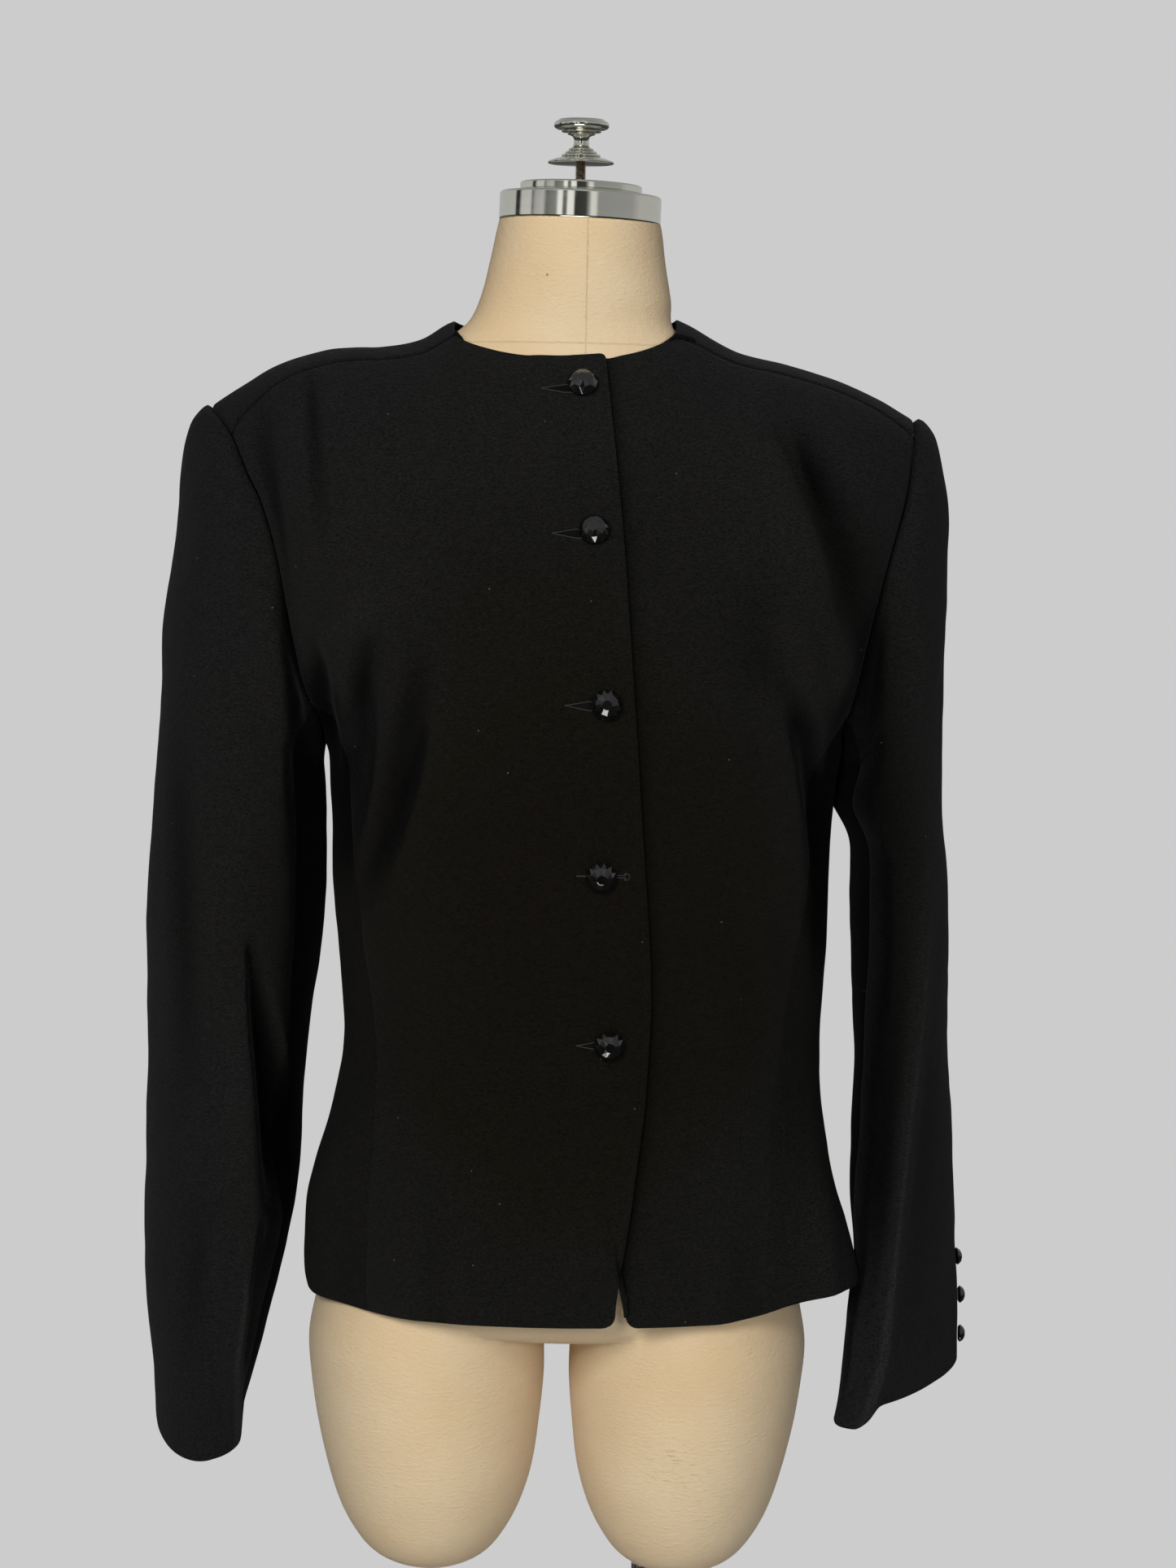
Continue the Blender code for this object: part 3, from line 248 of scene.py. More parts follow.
STUMP = chart("z middle wide front back", [
    (0.566, 0.079, 0.015, 0.018, 0.018), (0.5685, 0.079, 0.0255, 0.032, 0.032),
    (0.576, 0.0792, 0.0385, 0.048, 0.048), (0.588, 0.0795, 0.0485, 0.06, 0.061),
    (0.606, 0.0797, 0.058, 0.07, 0.072), (0.63, 0.08, 0.0655, 0.079, 0.081),
    (0.66, 0.0815, 0.071, 0.086, 0.089), (0.69, 0.0825, 0.0745, 0.091, 0.095),
    (0.715, 0.0835, 0.0752, 0.0945, 0.1), (0.74, 0.081, 0.0735, 0.096, 0.103),
    (0.77, 0.078, 0.07, 0.095, 0.102), (0.8, 0.074, 0.064, 0.09, 0.096)])

# Creases seen from the front, in millimetres: x, z, height (below nought for a trough), and reach to
# its left and right. Each runs downwards, so its left is towards the wearer's left. Their heights also
# give painted shade in troughs and a painted highlight on ridges.
FRONT_CREASES = {
    "shoulder_tuck": [(-164, 1326, 0, 6, 5), (-161.5, 1305, -3.4, 7, 5), (-158.3, 1279.4, -3, 9, 6),
        (-154.5, 1250, -2, 10, 8), (-150, 1215, 0, 10, 10)],
    "shoulder_tuck_lip": [(-171, 1320, 0, 7, 12), (-169, 1295, 1.4, 8, 14), (-164, 1250, 0, 8, 14)],
    "shoulder_soft": [(-193, 1310.5, 0, 12, 12), (-188.5, 1271.4, -3, 11, 12), (-180, 1230, -3.6, 11, 10),
        (-172, 1180, 0, 12, 10)],
    "bust_drag": [(-90, 1212, 0, 24, 18), (-113, 1188.4, 3, 22, 18), (-132.2, 1173.4, 3.8, 18, 14),
        (-153, 1150, 0, 12, 10)],
    "bust_trough": [(-118, 1178, 0, 12, 12), (-124.9, 1142, -5, 13, 11), (-127.5, 1112.7, -4.8, 14, 11),
        (-129, 1060, 0, 12, 12)],
    "under_bust": [(-86, 1168, 0, 14, 14), (-94.4, 1123.8, -3.4, 18, 13), (-101.2, 1092.1, -4, 20, 13),
        (-109.4, 1055.3, -3.8, 18, 13), (-119.5, 1020.8, -2.8, 16, 12), (-130, 970, 0, 14, 12)],
    "under_bust_lip": [(-72, 1150, 0, 20, 14), (-80, 1090, 2, 22, 14), (-98, 1020, 0, 20, 14)],
    "waist_soft_right": [(-98, 970, 0, 20, 16), (-105, 910, -0.7, 20, 16), (-108, 850, 0, 20, 16)],
    "hem_soft_right": [(-79, 850, 0, 14, 12), (-77, 810, -0.6, 14, 12), (-74, 746, -1.1, 16, 14)],
    "chest_edge_left": [(107, 1318, 0, 8, 16), (115, 1289.9, 1.3, 7, 22), (124, 1270.7, 1.8, 8, 24),
        (140, 1230.8, 2, 10, 26), (149, 1198.9, 1.8, 10, 26), (154.1, 1160.9, 0, 12, 22)],
    "chest_hollow_left": [(117, 1308, 0, 14, 6), (130, 1276, -2.4, 20, 6), (146, 1243, -3.1, 27, 8),
        (160, 1208, -3, 26, 10), (166, 1170, -1.8, 18, 10), (168, 1135, 0, 12, 10)],
    "dent_left": [(109, 1298, 0, 5, 5), (114, 1290.5, -2, 5, 5), (121, 1283, 0, 5, 5)],
    "armpit_pocket_right": [(-158, 1170, 0, 8, 8), (-153, 1143, -4.2, 10, 9), (-149, 1115, -5.8, 9, 10),
        (-145, 1085, -2, 8, 10), (-143, 1060, 0, 8, 10)],
    "armpit_facet_left": [(160, 1190, 0, 10, 10), (164, 1155, 2.6, 12, 12), (164, 1125, 0, 10, 10)],
    "bust_edge_left": [(128, 1195, 0, 10, 20), (138, 1170, 3, 10, 24), (148, 1142.3, 3.6, 9, 22),
        (156, 1100, 0, 8, 20)],
    "side_edge_left": [(116, 1150, 0, 10, 20), (127.9, 1113.1, 2.4, 8, 22), (134.5, 1090, 3.4, 7, 22),
        (143.7, 1034.9, 3.4, 7, 22), (150, 985, 2.4, 8, 20), (154, 930, 0, 10, 18)],
    "side_trough_left": [(133, 1145, 0, 10, 8), (144, 1105, -3.6, 12, 8), (153, 1050, -4.4, 12, 8),
        (158, 990, 0, 10, 8)],
    "waist_soft_left": [(105, 1000, 0, 18, 22), (115, 930, -0.8, 18, 22), (118, 860, 0, 18, 22)],
    "hip_edge_left": [(150, 925, 0, 10, 16), (160, 885, 1.8, 8, 16), (165, 830, 2.2, 8, 16),
        (172, 750, 2.6, 8, 16)],
    "hem_soft_left": [(113, 840, 0, 16, 16), (116, 746, -1.4, 18, 18)],
}

# Creases seen from behind, where x is still towards the wearer's left
BACK_CREASES = {
    "blade_left": [(95, 1250, 0, 22, 20), (108, 1190, 3.6, 22, 16), (118, 1120, 0, 20, 14)],
    "blade_right": [(-100, 1245, 0, 20, 22), (-112, 1185, 3.4, 16, 22), (-120, 1110, 0, 14, 20)],
    "armhole_drag_left": [(150, 1240, 0, 10, 12), (144, 1190, -5, 12, 12), (133, 1130, -4, 12, 14),
        (126, 1070, 0, 12, 14)],
    "armhole_drag_right": [(-148, 1220, 0, 12, 10), (-140, 1170, -4.6, 12, 12),
        (-130, 1100, -3.6, 14, 12), (-122, 1040, 0, 14, 12)],
    "waist_fall_left": [(70, 1040, 0, 18, 18), (83, 950, -3, 18, 16), (95, 860, 0, 18, 16)],
    "waist_fall_right": [(-62, 1010, 0, 16, 18), (-78, 930, -3.2, 16, 18), (-90, 850, 0, 16, 18)],
    "waist_middle": [(12, 990, 0, 16, 20), (6, 920, -2.2, 18, 22), (15, 830, 0, 18, 22)],
    "hem_back_left": [(60, 850, 0, 20, 20), (64, 746, 4, 22, 22)],
    "hem_back_right": [(-50, 830, 0, 20, 20), (-54, 746, 3.6, 22, 22)],
    "nape": [(-50, 1325, 0, 12, 10), (0, 1313, -1.6, 14, 10), (48, 1323, 0, 12, 10)],
}

# Creases of the sleeves, seen from the front and from behind
SLEEVE_CREASES = {
    ("right", "front"): {
        "elbow_groove": [(-195.5, 980, 0, 6, 4), (-192.5, 955, -4, 8, 5), (-188.5, 917.2, -9.5, 13, 7),
            (-183.5, 876.1, -13, 17, 8), (-179, 834.8, -11, 17, 9), (-176, 795, 0, 12, 10)],
        "elbow_lip": [(-202, 970, 0, 10, 14), (-199, 900, 2.6, 9, 18), (-195, 830, 2.2, 9, 18),
            (-193, 770, 0, 9, 16)],
        "outer_soft": [(-240, 1120, 0, 14, 12), (-239.5, 1040, -3, 15, 12), (-236, 940, -2.8, 16, 12),
            (-233, 850, 0, 16, 12)],
        "armpit_pucker": [(-180, 1180, 0, 6, 6), (-170, 1140, -2.6, 6, 7), (-166, 1105, -3, 6, 8),
            (-164, 1060, 0, 6, 8)],
        "armpit_lip": [(-187, 1160, 0, 7, 10), (-180, 1120, 2, 7, 12), (-176, 1050, 0, 7, 12)],
        "cuff_edge": [(-189, 800, 0, 6, 12), (-192.5, 775, 2.4, 5, 12), (-196.9, 735.6, 3.2, 5, 12),
            (-201.1, 701.4, 3.2, 5, 12), (-203.2, 640, 3, 5, 12)],
        "fore_soft": [(-225, 830, 0, 14, 14), (-227, 760, -2, 14, 14), (-230, 690, 0, 14, 14)],
    },
    ("right", "back"): {
        "elbow_fold_high": [(-170, 950, 0, 8, 12), (-205, 938, -6, 8, 14), (-250, 950, 0, 8, 12)],
        "elbow_fold_low": [(-175, 900, 0, 8, 12), (-215, 886, -5, 8, 14), (-255, 900, 0, 8, 12)],
        "back_fall": [(-195, 1170, 0, 14, 14), (-202, 1090, -3.6, 14, 14), (-206, 1000, 0, 14, 14)],
    },
    ("left", "front"): {
        "pressed_edge": [(229, 1100, 0, 10, 10), (226.5, 1050, 0.8, 10, 9), (224, 991.2, 1.6, 9, 9),
            (220, 908.2, 2, 9, 9), (215, 845.9, 2.2, 9, 9), (210.6, 782.7, 2.6, 9, 10),
            (206.9, 734.3, 3, 9, 12), (199.7, 698.4, 3.6, 9, 12), (188, 660, 3.8, 9, 12)],
        "fore_hollow": [(208, 1010, 0, 10, 14), (205, 900, -1.4, 10, 14), (202, 800, -1.8, 10, 14),
            (195, 720, 0, 10, 12)],
        "outer_soft": [(233, 1180, 0, 8, 12), (230, 1120, -1.8, 8, 12), (229, 1070, 0, 8, 10)],
        "armpit_pucker": [(190, 1190, 0, 6, 6), (188, 1150, -2.4, 7, 6), (186, 1100, 0, 8, 6)],
    },
    ("left", "back"): {
        "elbow_fold_high": [(240, 950, 0, 12, 8), (210, 936, -5.6, 14, 8), (185, 946, 0, 12, 8)],
        "elbow_fold_low": [(242, 895, 0, 12, 8), (212, 882, -4.6, 14, 8), (186, 890, 0, 12, 8)],
        "back_fall": [(200, 1180, 0, 12, 12), (206, 1100, -3.4, 14, 12), (208, 1010, 0, 12, 12)],
    },
}

# Painted shade where little light reaches, and painted highlights, as rows like those of creases,
# which only darken or lighten the colour
TORSO_SHADES = {
    "armpit_right": [(-162, 1155, 0, 12, 10), (-154, 1135, -4, 14, 12), (-148, 1115, -9.5, 16, 16),
        (-150, 1076, -10.5, 21, 16), (-153, 1036, -7, 8, 10), (-154, 1010, 0, 6, 8)],
    "armpit_left": [(185, 1200, 0, 12, 16), (180, 1156, -4.8, 14, 14), (169, 1116, -8.5, 20, 12),
        (169, 1076, -10.5, 16, 13), (168, 1045, -7, 14, 10), (166, 1000, 0, 12, 8)],
    "chest_left": [(132, 1305, 0, 20, 4), (139, 1275, -3.6, 22, 4), (160, 1236, -2.4, 30, 13),
        (174, 1196, -2.6, 36, 18), (170, 1156, -1.2, 30, 14), (168, 1130, 0, 20, 12)],
    "bust_left": [(134, 1150, 0, 16, 14), (141, 1116, -3.8, 18, 15), (140, 1076, -6, 18, 4),
        (148, 1036, -8.4, 12, 2), (152, 990, -4, 10, 3), (154, 940, 0, 10, 5)],
    "under_bust_left": [(105, 1215, 0, 30, 40), (118, 1165, -1.9, 24, 40), (123, 1120, -1, 18, 30),
        (125, 1070, 0, 18, 30)],
}
SLEEVE_SHADES = {
    "right": {
        "armpit": [(-178, 1200, 0, 12, 10), (-172, 1156, -4, 14, 8), (-168, 1100, -7, 14, 9),
            (-168, 1040, 0, 14, 10)],
        "inner": [(-160, 1120, 0, 20, 18), (-160, 1060, -8, 20, 18), (-160, 980, -8, 20, 14),
            (-164, 870, -9, 20, 13), (-169, 820, -8, 20, 12), (-178, 770, -2, 16, 12),
            (-182, 730, 0, 12, 12)],
        "cuff_line": [(-195, 770, 0, 2, 4), (-196.9, 735.6, 8, 2, 4), (-201.1, 701.4, 8.5, 2, 4),
            (-203.2, 640, 8, 2, 4)],
        "outer_rim": [(-268, 900, 0, 12, 12), (-266, 820, 5.6, 14, 14), (-264, 730, 6, 18, 14),
            (-258, 650, 5, 18, 14)],
    },
    "left": {
        "inner": [(184, 1220, 0, 20, 12), (184, 1156, -3.6, 30, 12), (180, 1116, -5.2, 40, 16),
            (180, 1050, -6, 53, 20), (181, 950, -6.2, 52, 20), (183, 870, -5.8, 46, 20),
            (184, 810, -5, 40, 20), (185, 770, -2.6, 30, 18), (184, 730, 0, 20, 16)],
        "pressed_line": [(227, 1060, 0, 6, 3), (224, 991.2, 4, 6, 3), (220, 908.2, 6.2, 4, 3),
            (215, 845.9, 6.4, 4, 3), (210.6, 782.7, 6.6, 4, 3), (206.9, 734.3, 7.6, 5, 6),
            (199.7, 698.4, 6.6, 6, 7), (188, 660, 5, 8, 8)],
        "outer": [(234, 940, 0, 12, 12), (232, 880, -2.6, 16, 14), (229, 800, -2.4, 20, 16),
            (226, 720, 0, 18, 14)],
        "outer_rim": [(236, 1140, 0, 10, 10), (240, 1040, 6.4, 12, 16), (244, 950, 5.6, 10, 10),
            (250, 860, 4, 10, 8), (257, 780, 0, 8, 8)],
    },
}
# Below these heights the arms no longer keep light from the body's sides
LIT_BELOW = {"right": 0.985, "left": 0.94}
CREASE_WRAP = 0.15
SHADE_WRAP = 0.65
# Painted shadow that the lapped front casts on the under front, and a painted highlight along its edge
LAP_SHADE = 0.0062
LAP_SHADE_REACH = 0.0042
EDGE_LIGHT = 0.003
EDGE_LIGHT_REACH = 0.0016
CREASE_FADE = 0.01
ARMHOLE_SHADE = 0.005
ARMHOLE_SHADE_REACH = 0.007
ARMHOLE_SHADE_TOP = 1.235

# Painted shade on cloth that faces the gap between arm and body, below a height and above another one
HIDDEN_SHADE = 0.009
HIDDEN_TORSO_TOP = 1.15
HIDDEN_SLEEVE_TOP = 1.18
HIDDEN_SLEEVE_LOW = 0.66

# Sleeve heads: how they rise from the armhole, stay raised and sink again
HEAD_RISE = 0.016
HEAD_FLAT = 0.02
HEAD_FALL = 0.075
HEAD_FOOT_Z = 1.17


def sign_of(side):
    """+1 towards the wearer's left, -1 towards the right."""
    return 1 if side == "left" else -1


def by_side(place, value):
    """A value of the side on which each place lies."""
    return np.where(np.asarray(place) > 0, value("left"), value("right"))


def eased(t):
    """A smooth step from 0 to 1."""
    t = np.clip(t, 0.0, 1.0)
    return t * t * (3 - 2 * t)


def powered(value, power):
    """A signed power, for rounded-square rings."""
    return np.sign(value) * np.abs(value) ** power


def joined(*parts):
    """Coordinates as one array of points."""
    return np.stack(np.broadcast_arrays(*parts), axis=-1)


def solve(measure, low, high):
    """The places between low and high where a rising or falling measure is nought."""
    low, high = np.asarray(low, float), np.asarray(high, float)
    rising = measure(high) > measure(low)
    for _ in range(34):
        middle = (low + high) / 2
        above = (measure(middle) > 0) == rising
        low, high = np.where(above, low, middle), np.where(above, middle, high)
    return (low + high) / 2


def mound(offset, spread):
    """A soft bump, 1 at the middle and nought at one spread away."""
    t = np.minimum(np.abs(offset) / spread, 1.0)
    return (1 - t * t) ** 2


def turn_between(a, b):
    """The angle from b to a, in degrees, the short way round."""
    return (a - b + 180) % 360 - 180


def fold_height(folds, angle, z):
    """How far the soft folds of a chart lift the cloth at angles and heights."""
    total = 0.0
    for i, middle in enumerate(folds["angle"]):
        across = mound(turn_between(np.degrees(angle), middle), 2 * folds["spread"][i])
        along = mound(z - folds["z"][i], 1.6 * folds["reach"][i])
        total = total + folds["height"][i] * across * along
    return total


def ring_point(angle, z, rings=BODY):
    """Places on torso rings: angle 0 faces front and a right angle faces the wearer's left."""
    across, along = np.sin(angle), np.cos(angle)
    wide = by_side(across, lambda side: read(rings, side, z))
    deep = np.where(along > 0, read(rings, "front", z), read(rings, "back", z))
    power = read(rings, "power", z) if "power" in rings else RING_POWER
    return joined(wide * powered(across, 2 / power), -deep * powered(along, 2 / power), z)


def torso_point(angle, z):
    """The torso's outer surface, with its largest folds."""
    lift = fold_height(TORSO_FOLDS, angle, z)
    away = joined(np.sin(angle), -np.cos(angle), np.zeros_like(lift))
    return ring_point(angle, z) + lift[..., None] * away


def share_of(angle):
    """How far from the middle to the armhole a column stands, from 0 to 1."""
    return (np.abs(np.sin(angle)) / math.sin(FOOT_ANGLE)) ** (2 / RING_POWER)


def crest_z(side, x, back):
    """The height that columns rise towards; behind, it levels out at the nape."""
    if back:
        point = NECK_POINT[side]
        x = x + point / 2 * np.maximum(1 - x / point, 0) ** 2
    return read(CREST[side], "z", x)


def yoke_point(angle, climb, back=False):
    """The surface above the armholes' feet: climb 0 is the foot and a right angle the crest."""
    face = "back" if back else "front"
    share = share_of(angle)
    power = read(PROFILE, face, np.minimum(share, 1.0))
    up = powered(np.sin(climb), 2 / power)
    edge_up = powered(np.sin(climb), 2 / PROFILE[face][-1])
    out = powered(np.cos(climb), 2 / power)
    tip_z = by_side(angle, lambda side: CREST[side]["z"][-1])
    edge_z = FOOT_Z + (tip_z - FOOT_Z) * edge_up
    x = np.where(np.asarray(angle) > 0, 1, -1) * share * by_side(
        angle, lambda side: read(ARMHOLE, side, edge_z))
    foot_y = ring_point(math.pi - angle if back else angle, FOOT_Z)[..., 1]
    top = by_side(angle, lambda side: crest_z(side, share * TIP[side], back))
    return joined(x, CREST_Y + (foot_y - CREST_Y) * out, FOOT_Z + (top - FOOT_Z) * up)


def neck_angle(side):
    """The column that runs up to the neck point."""
    share = NECK_POINT[side] / TIP[side]
    return math.asin(math.sin(FOOT_ANGLE) * share ** (RING_POWER / 2))


def front_corner(side):
    """The column that runs up to the place where the shoulder seam meets the neckline."""
    x = neck_x(side, CREST_Y - SEAM_FORWARD_AT_NECK)
    return math.asin(math.sin(FOOT_ANGLE) * (x / TIP[side]) ** (RING_POWER / 2))


def inside_neck(angle, corner=front_corner):
    """Whether a column ends at the neckline."""
    return np.abs(angle) < by_side(angle, corner) - 1e-9


def seam_y(angle):
    """How far forward the shoulder seam lies on a column."""
    tip = by_side(angle, TIP.get)
    point = by_side(angle, lambda side: neck_x(side, CREST_Y - SEAM_FORWARD_AT_NECK))
    outward = (share_of(angle) * tip - point) / (tip - point)
    full = by_side(angle, SEAM_FORWARD.get)
    return CREST_Y - SEAM_FORWARD_AT_NECK - (full - SEAM_FORWARD_AT_NECK) * eased(outward)


def neck_y(x, back=False):
    """The neckline in plan."""
    across = np.minimum(np.abs(x) / by_side(x, NECK_POINT.get), 1.0)
    rim = (1 - across ** NECK_POWER) ** (1 / NECK_POWER)
    if back:
        return CREST_Y + (NECK_BACK_Y - CREST_Y) * rim
    start = CREST_Y - NECK_FORWARD
    return start + (NECK_FRONT_Y - start) * rim


def neck_x(side, y):
    """The half-width of the front neckline at a depth."""
    start = CREST_Y - NECK_FORWARD
    rim = np.clip((y - start) / (NECK_FRONT_Y - start), 0, 1)
    return NECK_POINT[side] * (1 - rim ** NECK_POWER) ** (1 / NECK_POWER)


def front_top(angle):
    """The climb at which a front column ends, at the neckline or at the shoulder seam."""
    def before(climb):
        point = yoke_point(angle, climb)
        return point[..., 1] - np.where(inside_neck(angle), neck_y(point[..., 0]), seam_y(angle))
    return solve(before, np.full_like(angle, 0.02), np.full_like(angle, math.pi / 2))


def back_top(angle):
    """The climb at which a back column ends, at the neckline or at the crest."""
    def behind(climb):
        point = yoke_point(angle, climb, back=True)
        return point[..., 1] - neck_y(point[..., 0], back=True)
    found = solve(behind, np.full_like(angle, 0.02), np.full_like(angle, math.pi / 2))
    return np.where(inside_neck(angle, neck_angle), found, math.pi / 2)


def hem_z(angle):
    """The height of the hem, which lifts at the wearer's left side."""
    return HEM_Z + 0.013 * mound(turn_between(np.degrees(angle), 78), 50)


def side_seam_angle(z, face="front"):
    """The angle of a side panel's seam, from the front or from the back."""
    return np.radians(read(SIDE_SEAM, face, z))


def armpit_z(angle):
    """The height of the armhole under the arm, across the side panel."""
    across = np.minimum(np.abs(math.pi / 2 - np.abs(angle)) / (math.pi / 2 - FOOT_ANGLE), 1.0)
    return FOOT_Z - ARMPIT_DIP * (1 - across ** ARMPIT_POWER) ** (1 / ARMPIT_POWER)


def spaced(length, step, first=True, last=True):
    """Shares of a length, closer together near those ends where the cloth rolls into a seam."""
    fine = np.array([0.0004, 0.001, 0.0018]) / length
    even = np.linspace(0, 1, max(2, math.ceil(length / step)) + 1)
    if first:
        even = np.concatenate([[0], fine, even[even > 1.4 * fine[-1]]])
    if last:
        even = np.concatenate([even[even < 1 - 1.4 * fine[-1]], 1 - fine[::-1], [1]])
    return even


def between(low, high, share):
    """A blend of two values."""
    return low + (high - low) * share


def rounded_corner(distance, radius):
    """How far an edge draws back near a rounded corner."""
    inside = np.clip(radius - distance, 0, radius)
    return radius - np.sqrt(np.maximum(radius * radius - inside * inside, 0))


def front_grid(side, step):
    """Points of one front, from the hem up, and from its side seam to its free edge."""
    edge = "upper" if side == "right" else "under"
    sign = sign_of(side)
    corner = sign * front_corner(side)
    chest = spaced(CHEST_WIDTH, step, last=False)
    placket = spaced(PLACKET_WIDTH, step, first=False)[1:]

    def columns(seam, last):
        seam, last = seam[:, None], last[:, None]
        return np.hstack([between(seam, corner, chest), between(corner, last, placket)])

    rise = spaced(FOOT_Z - HEM_Z, step, last=False)[:-1]
    nominal = between(HEM_Z, FOOT_Z, rise)
    goal = read(FRONT_EDGE, edge, nominal)
    last = solve(lambda a: torso_point(a, nominal)[..., 0] - goal,
                 np.full_like(nominal, -0.9), np.full_like(nominal, 0.9))
    angle = columns(sign * side_seam_angle(nominal), last)
    first = torso_point(angle[0], np.full_like(angle[0], HEM_Z))[:, 0]
    start = hem_z(angle) + rounded_corner(np.abs(first - first[-1]), HEM_CORNER)
    lower = torso_point(angle, between(start, FOOT_Z, rise[:, None]))

    share = spaced(YOKE_LENGTH, step, first=False)

    def past_edge(a):
        point = yoke_point(a, front_top(a) * share)
        return point[..., 0] - read(FRONT_EDGE, edge, point[..., 2])
    last = solve(past_edge, np.full_like(share, -0.5), np.full_like(share, 0.5))
    angle = columns(np.full_like(share, sign * FOOT_ANGLE), last)
    top = front_top(angle)
    ends = yoke_point(angle[-1], top[-1])
    away = np.linalg.norm(ends - ends[-1], axis=1)
    drop = rounded_corner(away, NECK_CORNER) / YOKE_LENGTH
    if side == "right":
        drop = drop - NECK_STAND / YOKE_LENGTH * (1 - eased(away / 0.028))
    upper = yoke_point(angle, top * share[:, None] * (1 - drop * share[:, None] ** 6))
    return np.vstack([lower, upper])


def side_grid(side, step):
    """Points of the panel under one arm, from its front seam to its back seam."""
    rise, across = spaced(SIDE_LENGTH, step)[:, None], spaced(SIDE_WIDTH, step)
    nominal = between(HEM_Z, FOOT_Z, rise)
    angle = between(side_seam_angle(nominal), math.pi - side_seam_angle(nominal, "back"), across)
    angle = angle * sign_of(side)
    start = hem_z(angle)
    return torso_point(angle, between(start, armpit_z(angle), rise))


def back_grids(step):
    """Points of the back: its body up to the neckline and crest, and the two flaps to the seams."""
    inner = spaced(NAPE_WIDTH, step, False, False)[:-1][::-1]
    outer = spaced(CHEST_WIDTH, step, first=False)[::-1]

    def columns(seam):
        seam = np.asarray(seam, float).reshape(-1, 1)
        halves = []
        for side in SIDES:
            corner = neck_angle(side)
            half = np.hstack([between(corner, seam, outer),
                              np.broadcast_to(corner * inner, (len(seam), len(inner)))])
            halves.append(sign_of(side) * half)
        return np.hstack([halves[0], halves[1][:, -2::-1]])

    rise = spaced(FOOT_Z - HEM_Z, step, last=False)[:-1]
    nominal = between(HEM_Z, FOOT_Z, rise)
    angle = columns(side_seam_angle(nominal, "back"))
    start = hem_z(math.pi - angle)
    lower = torso_point(math.pi - angle, between(start, FOOT_Z, rise[:, None]))
    angle = columns(FOOT_ANGLE)
    climb = back_top(angle) * spaced(YOKE_LENGTH, step, False)[:, None]
    upper = yoke_point(angle, climb, back=True)
    grids = [np.vstack([lower, upper])]
    flap = spaced(FLAP_LENGTH, step, first=False)[:, None]
    for side in SIDES:
        sign, corner = sign_of(side), neck_angle(side)

        def forward(turn):
            climb = between(math.pi / 2, front_top(sign * turn), flap)
            return yoke_point(sign * np.broadcast_to(turn, climb.shape), climb)

        def past_neck(turn):
            point = forward(turn)
            return np.abs(point[..., 0]) - neck_x(side, point[..., 1])
        low = np.full_like(flap, 0.7 * corner)
        inner = np.where(flap > 0, solve(past_neck, low, np.full_like(flap, 1.2 * corner)), corner)
        outward = between(inner, FOOT_ANGLE, outer[::-1])
        grids.append(forward(outward)[:, ::-1] if side == "right" else forward(outward))
    return grids


def armhole_loop(side):
    """A closed line of points round the armhole, from the tip down the front and up the back."""
    angle = np.array([sign_of(side) * FOOT_ANGLE])
    top = front_top(angle)
    low, high = FOOT_ANGLE, math.pi - FOOT_ANGLE
    under = sign_of(side) * np.linspace(low, high, 60)[1:-1]
    return np.vstack([
        yoke_point(angle, np.linspace(math.pi / 2, top[0], 12)[:-1]),
        yoke_point(angle, np.linspace(top[0], 0, 120)),
        torso_point(under, armpit_z(under)),
        yoke_point(angle, np.linspace(0, math.pi / 2, 120)[:-1], back=True),
    ])


def lengths_along(line):
    """The distance of each point of a line from its first one."""
    return np.concatenate([[0], np.cumsum(np.linalg.norm(np.diff(line, axis=0), axis=1))])


def sleeve_ring(side, angle, z):
    """Places on sleeve rings, in degrees: 0 is the outer side and a right angle the front."""
    rings = SLEEVE[side]
    outer, inner = read(rings, "outer", z), read(rings, "inner", z)
    turn = np.radians(read(rings, "turn", z))
    bend = np.radians(angle)
    lift = fold_height(SLEEVE_FOLDS[side], bend, z)
    x = (outer + inner) / 2 + (outer - inner) / 2 * np.cos(bend - turn) + lift * np.cos(bend)
    y = read(rings, "middle", z) - (read(rings, "depth", z) + lift) * np.sin(bend)
    return joined(sign_of(side) * x, y, z)


def cuff_z(side, angle):
    """The height of the cuff's edge, lowest in front."""
    level = np.full_like(angle, CUFF_Z[side])
    rise = CUFF_RISE[side] * eased((np.cos(np.radians(angle + 12)) + 0.15) / 0.55)
    step = CUFF_STEP[side] * eased((angle - 158) / 12) * eased((275 - angle) / 60)
    return CUFF_Z[side] + CUFF_TILT[side] * sleeve_ring(side, angle, level)[..., 1] + rise + step


def soften_rows(grid, rounds=34):
    """Rounds off bends between the rows of a grid, but not at its ends."""
    rows = np.arange(len(grid))
    hold = 0.5 * eased(np.minimum(rows, rows[::-1]) / 9)[1:-1, None, None]
    for _ in range(rounds):
        grid[1:-1] += hold * ((grid[:-2] + grid[2:]) / 2 - grid[1:-1])
    return grid


